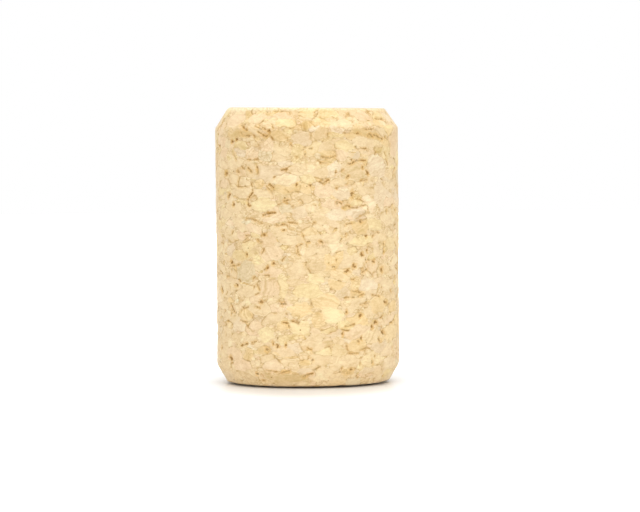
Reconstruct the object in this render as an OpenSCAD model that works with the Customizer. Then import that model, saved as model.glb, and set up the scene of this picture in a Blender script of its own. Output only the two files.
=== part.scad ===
// Straight bottle stopper, turned from a block of agglomerated cork and bevelled at both ends.
// Millimetres, +Z up along the axis. The origin is the centre of the foot that it stands on.

/* [Body] */
// Diameter of the straight wall that seals the bottle neck
body_d = 24; // [18:0.1:32]
// Length from the foot to the crown
body_len = 36; // [24:0.1:60]

/* [Crown] */
// Length of the crown bevel along the axis
crown_bevel_len = 2.65; // [1:0.05:5]
// Inset of the crown bevel towards the axis
crown_bevel_inset = 1.75; // [0.5:0.05:4]
// Radius of the crisp edge between the wall and the crown bevel
crown_shoulder_r = 0.3; // [0.1:0.05:2]

/* [Foot] */
// Length of the foot bevel along the axis
foot_bevel_len = 2.35; // [1:0.05:5]
// Inset of the foot bevel towards the axis
foot_bevel_inset = 1.4; // [0.5:0.05:4]
// Radius of the worn, softer edge between the wall and the foot bevel
foot_shoulder_r = 2.5; // [0.1:0.05:5]

/* [Rims] */
// Radius of the edge round each flat end
rim_r = 0.4; // [0.1:0.05:0.8]

/* [Hidden] */
$fn = 96;

cork_colour = "#F1D4A4";
wall_r = body_d / 2;
// Most of a side that the rounding at one of its ends may take up
side_share = 0.48;
// Share of its radius by which the fill behind an arc reaches into the body
seat_share = 0.06;
// Amount by which each arc stands proud, so that it crosses its two sides cleanly
arc_overlap = 0.0005;

// Corners of the half section from the axis at the foot to the axis at the crown,
// each with the radius that rounds it where its sides leave room.
corners = [
    [0, 0],
    [wall_r - foot_bevel_inset, 0],
    [wall_r, foot_bevel_len],
    [wall_r, body_len - crown_bevel_len],
    [wall_r - crown_bevel_inset, body_len],
    [0, body_len],
];
corner_radii = [0, rim_r, foot_shoulder_r, crown_shoulder_r, rim_r, 0];
rounded = [for (i = [0 : len(corners) - 1]) if (corner_radii[i] > 0) i];

function unit(v) = v / norm(v);

// The two sides that leave corner i.
function side_before(i) = corners[i - 1] - corners[i];
function side_after(i) = corners[i + 1] - corners[i];

// Direction into the body that halves corner i, and half of the angle inside it.
function inward(i) = unit(unit(side_before(i)) + unit(side_after(i)));
function half_angle(i) = acos(inward(i) * unit(side_after(i)));

// Radius at corner i, held back where a short side leaves no room for all of it.
function corner_r(i) =
    min(corner_radii[i], side_share * min(norm(side_before(i)), norm(side_after(i))) * tan(half_angle(i)));

// Distance from corner i to the points where its rounding leaves the two sides.
function tangent_len(i) = corner_r(i) / tan(half_angle(i));

// The two points where the arc at corner i meets its sides.
function arc_ends(i) = [
    corners[i] + unit(side_before(i)) * tangent_len(i),
    corners[i] + unit(side_after(i)) * tangent_len(i),
];

// The outline with every rounded corner cut off along the chord of its arc.
trimmed_outline = concat(
    [corners[0]],
    [for (i = rounded) each arc_ends(i)],
    [corners[len(corners) - 1]]
);

// Segment of a circle that fills corner i out to its arc.
module arc_fill(i) {
    r = corner_r(i);
    out = -inward(i);
    translate(corners[i] - out * r / sin(half_angle(i)))
        rotate(atan2(out.y, out.x))
            intersection() {
                circle(r = r + arc_overlap);
                translate([r * (sin(half_angle(i)) - seat_share), -r])
                    square([r, 2 * r]);
            }
}

// Half section of the body.
module half_section() {
    polygon(trimmed_outline);
    for (i = rounded)
        arc_fill(i);
}

// The whole stopper is one turned piece.
module cork_stopper() {
    color(cork_colour)
        rotate_extrude()
            half_section();
}

cork_stopper();
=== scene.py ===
"""Cork stopper: the looks of a bottle stopper of pressed cork granules, built around its CAD frame.

Lengths are millimetres, and turn to metres only where a mesh, a material, a lamp or the camera is made.
The side that the photograph shows faces -Y.
"""

import logging
import math
from dataclasses import dataclass, field, fields
from enum import Enum, IntEnum
from functools import partial
from itertools import product
from typing import Any, Callable, Iterable, Sequence

import bpy
import numpy as np
from mathutils import Euler, Matrix, Vector, kdtree, noise


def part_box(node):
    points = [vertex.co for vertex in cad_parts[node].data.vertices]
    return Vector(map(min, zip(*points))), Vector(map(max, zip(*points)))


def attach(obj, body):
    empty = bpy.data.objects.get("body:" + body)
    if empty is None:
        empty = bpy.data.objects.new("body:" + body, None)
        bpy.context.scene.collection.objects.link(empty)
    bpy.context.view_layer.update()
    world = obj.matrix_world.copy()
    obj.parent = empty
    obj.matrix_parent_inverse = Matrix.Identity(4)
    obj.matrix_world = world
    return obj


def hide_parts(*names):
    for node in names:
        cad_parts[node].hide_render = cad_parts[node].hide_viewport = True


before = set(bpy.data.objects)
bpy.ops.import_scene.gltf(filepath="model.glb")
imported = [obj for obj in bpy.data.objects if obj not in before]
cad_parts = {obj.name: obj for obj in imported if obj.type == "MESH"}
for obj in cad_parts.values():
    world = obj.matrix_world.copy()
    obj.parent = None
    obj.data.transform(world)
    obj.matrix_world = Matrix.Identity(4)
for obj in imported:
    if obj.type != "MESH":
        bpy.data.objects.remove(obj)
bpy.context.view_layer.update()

LOG = logging.getLogger("cork_stopper")
NODE = "cork_stopper"
BODY = "root"
MM = 0.001
TINY = 1e-3
NOISE_SEED = 11
# Upright share of a surface's normal above which the surface counts as a flat end.
FLAT_FACING = 0.9
Colour = tuple[float, float, float, float]
Span = tuple[float, float]
# Start, end and outward direction of a mark, half of its width, and its strength.
Bar = tuple[np.ndarray, np.ndarray, np.ndarray, float, float]
Socket = bpy.types.NodeSocket
AddNode = Callable[..., Socket | None]


def linear(hex_colour: str) -> Colour:
    """Turns an sRGB hex colour into the linear colour that sockets take.

    Args:
        hex_colour: Colour written as "#RRGGBB".

    Returns:
        Linear red, green, blue and an alpha of one.
    """
    channels = [int(hex_colour[i : i + 2], 16) / 255 for i in (1, 3, 5)]
    red, green, blue = (c / 12.92 if c <= 0.04045 else ((c + 0.055) / 1.055) ** 2.4 for c in channels)
    return red, green, blue, 1.0


def per_metre(size_mm: float) -> float:
    """Gives the texture scale at which a pattern repeats every size_mm."""
    return 1 / (size_mm * MM)


def add_node(
    tree: bpy.types.NodeTree, kind: str, inputs: dict | None = None, out: int | str = 0, **settings: Any
) -> Socket | None:
    """Adds a shader node with its settings, its socket values and its links.

    Args:
        tree: Node tree that takes the node.
        kind: Type name of the node, without ShaderNode before it.
        inputs: Values or output sockets, by the name or index of the input socket.
        out: Name or index of the output that is wanted.
        settings: Values of the node's own properties.

    Returns:
        The output, if the node has any.
    """
    node = tree.nodes.new(f"ShaderNode{kind}")
    for name, value in settings.items():
        setattr(node, name, value)
    for key, value in (inputs or {}).items():
        if isinstance(value, Socket):
            tree.links.new(value, node.inputs[key])
        else:
            node.inputs[key].default_value = value
    return node.outputs[out] if len(node.outputs) else None


def smoothstep(low: float, high: float, values: np.ndarray) -> np.ndarray:
    """Eases values from 0 at low to 1 at high."""
    t = np.clip((values - low) / (high - low), 0, 1)
    return t * t * (3 - 2 * t)


def grain_noise(points: np.ndarray, size_mm: float, shift: float = 0.0) -> np.ndarray:
    """Samples smooth noise.

    Args:
        points: Places in millimetres, one a row.
        size_mm: Size of the noise's features.
        shift: Offset that gives another pattern.

    Returns:
        One value from about -1 to 1 for each place.
    """
    return np.array([noise.noise(p) for p in (points / size_mm + shift).tolist()])


def grain_warp(points: np.ndarray, size_mm: float) -> np.ndarray:
    """Samples a smooth random direction at each place, in features of size_mm."""
    return np.array([noise.noise_vector(p) for p in (points / size_mm).tolist()])


def search_tree(places: Iterable[np.ndarray], names: Iterable[int]) -> kdtree.KDTree:
    """Makes a tree that finds the nearest of some places.

    Args:
        places: The places.
        names: Number by which each is known.

    Returns:
        The tree.
    """
    pairs = list(zip(places, names))
    tree = kdtree.KDTree(len(pairs))
    for place, name in pairs:
        tree.insert(place, int(name))
    tree.balance()
    return tree


class Draw(IntEnum):
    """Sets of fixed random draws."""

    CLEFT = 1
    MEETING = 2
    GRANULE = 4
    GROWTH_X = 5
    GROWTH_Y = 6
    GROWTH_Z = 7
    FOOT_REST = 8


def chance(first: np.ndarray, second: np.ndarray, draw: Draw) -> np.ndarray:
    """Draws a fixed random share from 0 to 1 for each pair of whole numbers, in either order.

    Args:
        first: One number of each pair.
        second: The other number of each pair.
        draw: The set of draws.

    Returns:
        The share of each pair.
    """
    low = np.minimum(first, second).astype(np.uint64)
    high = np.maximum(first, second).astype(np.uint64)
    low_prime, high_prime, draw_prime, mixer = 0x9E3779B1, 0x85EBCA77, 0xC2B2AE3D, 0xBF58476D1CE4E5B9
    mixed = low * np.uint64(low_prime) + high * np.uint64(high_prime) + np.uint64(draw * draw_prime)
    for _ in range(2):
        mixed ^= mixed >> np.uint64(29)
        mixed *= np.uint64(mixer)
    return (mixed >> np.uint64(40)).astype(float) / 2**24


@dataclass(frozen=True)
class TurnedProfile:
    """Half section of the turned stopper, from the foot's centre round to the crown's centre."""

    wall_r: float
    length: float
    crown_bevel_len: float = 2.65
    crown_bevel_inset: float = 1.75
    crown_shoulder_r: float = 0.3
    foot_bevel_len: float = 2.35
    foot_bevel_inset: float = 1.4
    foot_shoulder_r: float = 2.5
    rim_r: float = 0.4
    arc_steps: int = 24

    def outline(self) -> np.ndarray:
        """Works out the rounded outline.

        Returns:
            Radius and height of each point, one a row.
        """
        corners = np.array(
            [
                (0, 0),
                (self.wall_r - self.foot_bevel_inset, 0),
                (self.wall_r, self.foot_bevel_len),
                (self.wall_r, self.length - self.crown_bevel_len),
                (self.wall_r - self.crown_bevel_inset, self.length),
                (0, self.length),
            ],
            float,
        )
        roundings = (self.rim_r, self.foot_shoulder_r, self.crown_shoulder_r, self.rim_r)
        points = [corners[:1]]
        for before, corner, after, radius in zip(corners, corners[1:], corners[2:], roundings):
            points.append(self.arc(before, corner, after, radius))
        return np.vstack([*points, corners[-1:]])

    def arc(self, before: np.ndarray, corner: np.ndarray, after: np.ndarray, radius: float) -> np.ndarray:
        """Rounds one corner.

        Args:
            before: The corner before it.
            corner: The corner to round.
            after: The corner after it.
            radius: Radius of the rounding.

        Returns:
            The arc's points in order.
        """
        back = (before - corner) / np.linalg.norm(before - corner)
        ahead = (after - corner) / np.linalg.norm(after - corner)
        half = math.acos(float(back @ ahead)) / 2
        middle = (back + ahead) / np.linalg.norm(back + ahead)
        centre = corner + middle * radius / math.sin(half)
        start = corner + back * radius / math.tan(half) - centre
        end = corner + ahead * radius / math.tan(half) - centre
        first = math.atan2(start[1], start[0])
        turn = (math.atan2(end[1], end[0]) - first + math.pi) % (2 * math.pi) - math.pi
        angles = first + turn * np.linspace(0, 1, self.arc_steps)
        return centre + radius * np.column_stack([np.cos(angles), np.sin(angles)])

    def radius_at(self, height: float) -> float:
        """Gives the radius of the side at a height."""
        side = self.outline()[1:-1]
        return float(np.interp(height, side[:, 1], side[:, 0]))

    def rings(self, step: float) -> tuple[np.ndarray, np.ndarray]:
        """Places rings at even steps along the outline.

        Args:
            step: Wanted distance between two rings.

        Returns:
            Radius and height of each ring, and its outward normal in the section.
        """
        outline = self.outline()
        sides = np.linalg.norm(np.diff(outline, axis=0), axis=1)
        along = np.concatenate([[0], np.cumsum(sides)])
        travel = np.linspace(0, along[-1], round(along[-1] / step) + 1)
        ahead, behind = (np.clip(travel + reach, 0, along[-1]) for reach in (step / 2, -step / 2))
        places, front, back = (
            np.column_stack([np.interp(spot, along, outline[:, k]) for k in (0, 1)])
            for spot in (travel, ahead, behind)
        )
        way = front - back
        way /= np.linalg.norm(way, axis=1, keepdims=True)
        return places, np.column_stack([way[:, 1], -way[:, 0]])


@dataclass(frozen=True)
class Seat:
    """A place on the turned side, with its own directions.

    Attributes:
        place: The place.
        across: Level direction to the right along the surface.
        up: Direction up the surface.
        pixel: Size of a pixel of the photograph on the surface, across and up.
    """

    place: np.ndarray
    across: np.ndarray
    up: np.ndarray
    pixel: np.ndarray

    @property
    def out(self) -> np.ndarray:
        """Direction out of the surface."""
        return np.cross(self.across, self.up)


@dataclass(frozen=True)
class Viewpoint:
    """The photograph's camera, level with the crown and a long way off."""

    wide_px: int = 640
    high_px: int = 512
    focal_px: float = 3317.0
    distance: float = 435.0
    eye_height: float = 36.0
    axis_px: float = 307.6
    eye_level_px: float = 107.6
    roll: float = -0.4
    sensor: float = 36.0
    clip_start: float = 10.0
    least_facing: float = 0.4

    @property
    def yaw(self) -> float:
        """Turn to the right that puts the stopper's axis at axis_px, in radians."""
        return math.atan((self.wide_px / 2 - self.axis_px) / self.focal_px)

    @property
    def pitch(self) -> float:
        """Dip that puts the horizon at eye_level_px, in radians."""
        return math.atan((self.high_px / 2 - self.eye_level_px) / self.focal_px)

    def build(self) -> None:
        """Makes the camera and gives it to the scene."""
        data = bpy.data.cameras.new("photo_camera")
        data.sensor_fit = "HORIZONTAL"
        data.sensor_width = self.sensor
        data.lens = self.sensor * self.focal_px / self.wide_px
        data.clip_start = self.clip_start * MM
        camera = bpy.data.objects.new("photo_camera", data)
        camera.location = (0, -self.distance * MM, self.eye_height * MM)
        level = Euler((math.pi / 2 - self.pitch, 0, -self.yaw)).to_matrix()
        camera.rotation_euler = (level @ Matrix.Rotation(math.radians(self.roll), 3, "Z")).to_euler()
        bpy.context.scene.collection.objects.link(camera)
        bpy.context.scene.camera = camera

    def on_front(self, x_px: float, y_px: float, radius: float) -> np.ndarray:
        """Finds the place on the stopper's front that a pixel shows.

        Args:
            x_px: Column of the pixel.
            y_px: Row of the pixel.
            radius: Radius of the round wall that the pixel's ray meets.

        Returns:
            The place, in millimetres.
        """
        right, drop = x_px - self.wide_px / 2, y_px - self.high_px / 2
        turn = math.radians(self.roll)
        across = math.atan((right * math.cos(turn) + drop * math.sin(turn)) / self.focal_px) + self.yaw
        down = math.atan((drop * math.cos(turn) - right * math.sin(turn)) / self.focal_px) + self.pitch
        ray = np.array([math.tan(across), 1.0, -math.tan(down)])
        flat = ray[0] ** 2 + ray[1] ** 2
        reach = self.distance * ray[1]
        spread = max(reach**2 - flat * (self.distance**2 - radius**2), 0.0)
        return np.array([0, -self.distance, self.eye_height]) + ray * (reach - math.sqrt(spread)) / flat

    def seat(self, x_px: float, y_px: float, profile: TurnedProfile) -> Seat:
        """Finds where a pixel lies on the side, on the straight wall or on a bevel.

        Args:
            x_px: Column of the pixel.
            y_px: Row of the pixel.
            profile: The turned section.

        Returns:
            The place with its directions.
        """
        radius, rounds, nudge = profile.wall_r, 4, 0.1
        for _ in range(rounds):
            place = self.on_front(x_px, y_px, radius)
            radius = profile.radius_at(place[2])
        turn = math.atan2(place[0], -place[1])
        out = np.array([math.sin(turn), -math.cos(turn), 0.0])
        rise = np.array([0.0, 0.0, 2 * nudge])
        up = out * (profile.radius_at(place[2] + nudge) - profile.radius_at(place[2] - nudge)) + rise
        up /= np.linalg.norm(up)
        pixel = (self.distance - radius * math.cos(turn)) / self.focal_px
        facing = np.array([max(math.cos(turn), self.least_facing), up[2]])
        return Seat(place, np.array([math.cos(turn), math.sin(turn), 0.0]), up, pixel / facing)


@dataclass(frozen=True)
class Studio:
    """White table, white surroundings and three large soft lamps."""

    ambient: float = 0.589
    table_side: float = 1400.0
    table_colour: str = "#F4F4F4"
    table_gloss: float = 0.35
    table_roughness: float = 0.25
    table_lift: float = 0.8
    shadow_from: float = 9.0
    shadow_to: float = 22.0
    shadow_squeeze: float = 0.55
    overhead_side: float = 900.0
    overhead_place: tuple[float, float, float] = (40.0, -160.0, 700.0)
    overhead_power: float = 4.45
    fill_side: float = 400.0
    left_place: tuple[float, float, float] = (-560.0, -740.0, 40.0)
    left_power: float = 0.86
    right_place: tuple[float, float, float] = (600.0, -700.0, 40.0)
    right_power: float = 0.9

    def build(self) -> None:
        """Makes the surroundings, the table and the lamps."""
        bpy.context.scene.view_settings.view_transform = "Standard"
        self.surround()
        self.table()
        self.lamp("overhead_softbox", self.overhead_place, self.overhead_side, self.overhead_power)
        self.lamp("left_softbox", self.left_place, self.fill_side, self.left_power)
        self.lamp("right_softbox", self.right_place, self.fill_side, self.right_power)

    @staticmethod
    def seen_directly(add: AddNode) -> Socket:
        """Tells rays from the eye, mirrors and glass from rays that only carry light.

        Args:
            add: Function that adds a node to the world's or the material's tree.

        Returns:
            A socket that is 1 where the ray shows the background to the eye.
        """
        rays = add("LightPath").node.outputs
        mirrored = add("Math", {0: rays["Is Camera Ray"], 1: rays["Is Glossy Ray"]}, operation="MAXIMUM")
        return add("Math", {0: mirrored, 1: rays["Is Transmission Ray"]}, operation="MAXIMUM")

    def surround(self) -> None:
        """Makes the even white light that comes from all round."""
        world = bpy.data.worlds.new("white_surround")
        world.use_nodes = True
        tree = world.node_tree
        add = partial(add_node, tree)
        strength = add("MapRange", {"Value": self.seen_directly(add), "To Min": self.ambient})
        background = tree.nodes["Background"]
        background.inputs["Color"].default_value = linear("#FFFFFF")
        tree.links.new(strength, background.inputs["Strength"])
        bpy.context.scene.world = world

    def table(self) -> None:
        """Makes the white table."""
        half = self.table_side * MM / 2
        mesh = bpy.data.meshes.new("white_table")
        corners = [(-half, -half, 0), (half, -half, 0), (half, half, 0), (-half, half, 0)]
        mesh.from_pydata(corners, [], [(0, 1, 2, 3)])
        mesh.materials.append(self.laminate())
        top = bpy.data.objects.new("white_table", mesh)
        bpy.context.scene.collection.objects.link(top)

    def laminate(self) -> bpy.types.Material:
        """Makes the table's surface, which fades to pure white to the eye away from the stopper's shadow.

        Returns:
            The material.
        """
        material = bpy.data.materials.new("silk_white_laminate")
        material.use_nodes = True
        material.node_tree.nodes.clear()
        add = partial(add_node, material.node_tree)
        place = add("TexCoord", out="Object")
        # The sheen draws the shadow out towards the eye, so depth counts for less than width.
        squeezed = add("VectorMath", {0: place, 1: (1.0, self.shadow_squeeze, 1.0)}, operation="MULTIPLY")
        away = add("VectorMath", {0: squeezed}, out="Value", operation="LENGTH")
        low, high = self.shadow_from * MM, self.shadow_to * MM
        reach = {"Value": away, "From Min": low, "From Max": high, "To Max": self.table_lift}
        fade = add("MapRange", reach, interpolation_type="SMOOTHSTEP")
        lift = add("Math", {0: self.seen_directly(add), 1: fade}, operation="MULTIPLY")
        white = linear(self.table_colour)
        matt = add("BsdfDiffuse", {"Color": white})
        sheen = add("BsdfAnisotropic", {"Color": white, "Roughness": self.table_roughness})
        silk = add("MixShader", {0: self.table_gloss, 1: matt, 2: sheen})
        glow = add("Emission", {"Strength": lift})
        add("OutputMaterial", {"Surface": add("AddShader", {0: silk, 1: glow})})
        return material

    def lamp(self, name: str, place: Sequence[float], side: float, power: float) -> None:
        """Makes a square softbox that faces the stopper.

        Args:
            name: Name of the lamp.
            place: Its centre.
            side: Its side.
            power: Its power in watts.
        """
        data = bpy.data.lights.new(name, "AREA")
        data.size = side * MM
        data.energy = power
        lamp = bpy.data.objects.new(name, data)
        lamp.location = Vector(place) * MM
        lamp.rotation_euler = (-lamp.location).to_track_quat("-Z", "Y").to_euler()
        bpy.context.scene.collection.objects.link(lamp)


@dataclass
class TurnedSkin:
    """Even net of triangles over the turned surface, before the granules part it."""

    profile: TurnedProfile
    pitch: float = 0.285
    points: np.ndarray = field(init=False)
    normals: np.ndarray = field(init=False)
    triangles: np.ndarray = field(init=False)

    def build(self) -> None:
        """Makes the rings of points and stitches each to the next."""
        places, slopes = self.profile.rings(self.pitch * math.sqrt(3) / 2)
        points, normals, faces = [], [], []
        last_angles = np.zeros(0)
        last_start = count = 0
        for index, ((radius, height), (out, up)) in enumerate(zip(places, slopes)):
            around = max(1, round(2 * math.pi * radius / self.pitch))
            angles = (np.arange(around) + 0.5 * (index % 2)) / around
            turn = 2 * math.pi * angles
            ring = np.column_stack([np.sin(turn), -np.cos(turn), np.ones(around)])
            points.append(ring * (radius, radius, height))
            normals.append(ring * (out, out, up))
            if index:
                faces.extend(self.stitch(last_angles, last_start, angles, count))
            last_angles, last_start = angles, count
            count += around
        self.points = np.vstack(points)
        self.normals = np.vstack(normals)
        self.triangles = np.array(faces)

    @staticmethod
    def stitch(
        lower: np.ndarray, low_start: int, upper: np.ndarray, up_start: int
    ) -> list[tuple[int, int, int]]:
        """Joins two rings with a band of triangles.

        Args:
            lower: Turns of the lower ring's points, from 0 to 1.
            low_start: Index of the lower ring's first point.
            upper: Turns of the upper ring's points.
            up_start: Index of the upper ring's first point.

        Returns:
            The band's triangles, wound to face outwards.
        """
        low_count, up_count = len(lower), len(upper)
        low_next = np.append(lower[1:], lower[0] + 1) if low_count > 1 else np.array([2.0])
        up_next = np.append(upper[1:], upper[0] + 1) if up_count > 1 else np.array([2.0])
        low_left = low_count if low_count > 1 else 0
        up_left = up_count if up_count > 1 else 0
        i = j = 0
        band = []
        while i < low_left or j < up_left:
            a, b = low_start + i % low_count, up_start + j % up_count
            if j >= up_left or (i < low_left and low_next[i] <= up_next[j]):
                i += 1
                band.append((a, low_start + i % low_count, b))
            else:
                j += 1
                band.append((a, up_start + j % up_count, b))
        return band


class CorkShade(Enum):
    """Shades of sanded cork from a stained seam to the palest chip, with the lightness that each has."""

    RUST = ("#B98F55", 150.0)
    BARK = ("#CDA971", 175.0)
    TAN = ("#DCBE87", 193.0)
    SAND = ("#E7CA99", 205.0)
    STRAW = ("#EED2A3", 213.0)
    WHEAT = ("#F4DAAD", 221.0)
    CREAM = ("#F9E2B6", 229.0)
    PALE = ("#FCECC1", 238.0)

    @property
    def colour(self) -> str:
        """Colour of the shade, as sRGB hex."""
        return self.value[0]

    @property
    def lightness(self) -> float:
        """Lightness of the shade, on a scale that ends at 255."""
        return self.value[1]

    @staticmethod
    def place(lightness: float | np.ndarray) -> float | np.ndarray:
        """Gives the place of a lightness on the colour ramp, from 0 to 1."""
        darkest, palest = CorkShade.RUST.lightness, CorkShade.PALE.lightness
        return (lightness - darkest) / (palest - darkest)


class CorkTint(Enum):
    """Casts that different bark gives: the colour of a granule of shade STRAW, and how common it is."""

    PLAIN = ("#F0D2A1", 0.39)
    PEACH = ("#F2D2A5", 0.20)
    ROSE = ("#EED2A8", 0.13)
    GREY = ("#EBD3A8", 0.02)
    STRAW = ("#F0D39A", 0.13)
    AMBER = ("#F3D299", 0.13)

    @property
    def cast(self) -> np.ndarray:
        """Share of red, green and blue that the tint leaves, beside plain cork."""
        return np.array(linear(self.value[0])[:3]) / linear(CorkTint.PLAIN.value[0])[:3]

    @property
    def share(self) -> float:
        """Share of the granules that have the tint."""
        return self.value[1]


@dataclass(frozen=True)
class SizeBand:
    """A sieve size of granules.

    Attributes:
        least: Smallest half width.
        most: Largest half width.
        tries: How many times a granule of this size is dropped in.
        apart: Share of the two half widths that granules keep between their centres.
        lightness: Mean lightness of the granules.
        spread: How much the lightness varies from granule to granule.
        odd_share: Share of the granules that are much paler or darker than the rest.
    """

    least: float
    most: float
    tries: int
    apart: float
    lightness: float
    spread: float
    odd_share: float


class Sieve(Enum):
    """The sieve sizes that a stopper is pressed from, largest first."""

    CHIP = SizeBand(1.25, 2.0, 1700, 0.84, 218.0, 2.4, 0.06)
    GRAIN = SizeBand(0.8, 1.25, 6000, 0.84, 218.0, 2.8, 0.06)
    CRUMB = SizeBand(0.45, 0.8, 14000, 0.84, 217.0, 3.8, 0.08)
    FINE = SizeBand(0.24, 0.45, 18000, 0.88, 214.0, 5.0, 0.08)


@dataclass(frozen=True)
class SeenSpot:
    """A spot that stands out on the photographed side.

    Attributes:
        x_px: Column of its middle in the photograph.
        y_px: Row of its middle.
        wide_px: Its width.
        high_px: Its height.
        lean: Turn of its width, rising to the right above 0, in degrees.
    """

    x_px: float
    y_px: float
    wide_px: float
    high_px: float
    lean: float = 0.0

    def halves(self, seat: Seat) -> np.ndarray:
        """Gives half of its width and height on the surface."""
        return np.array([self.wide_px, self.high_px]) / 2 * seat.pixel

    def directions(self, seat: Seat) -> tuple[np.ndarray, np.ndarray]:
        """Gives the directions along its width and over its height, at its seat."""
        lean = math.radians(self.lean)
        along = seat.across * math.cos(lean) + seat.up * math.sin(lean)
        return along, seat.up * math.cos(lean) - seat.across * math.sin(lean)

    def form(self, seat: Seat) -> np.ndarray:
        """Works out the matrix that turns an offset from its middle into a round distance.

        Args:
            seat: Its place on the surface.

        Returns:
            The matrix, which leaves lengths along the spot's width as they are.
        """
        half_wide, half_high = self.halves(seat)
        along, over = self.directions(seat)
        return np.array([along, over * half_wide / half_high, np.cross(along, over)])


@dataclass(frozen=True)
class SeenChip(SeenSpot):
    """A granule that stands out on the photographed side.

    Attributes:
        shade: Its shade.
        tint: Its cast.
    """

    shade: CorkShade = CorkShade.STRAW
    tint: CorkTint = CorkTint.PLAIN


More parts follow.
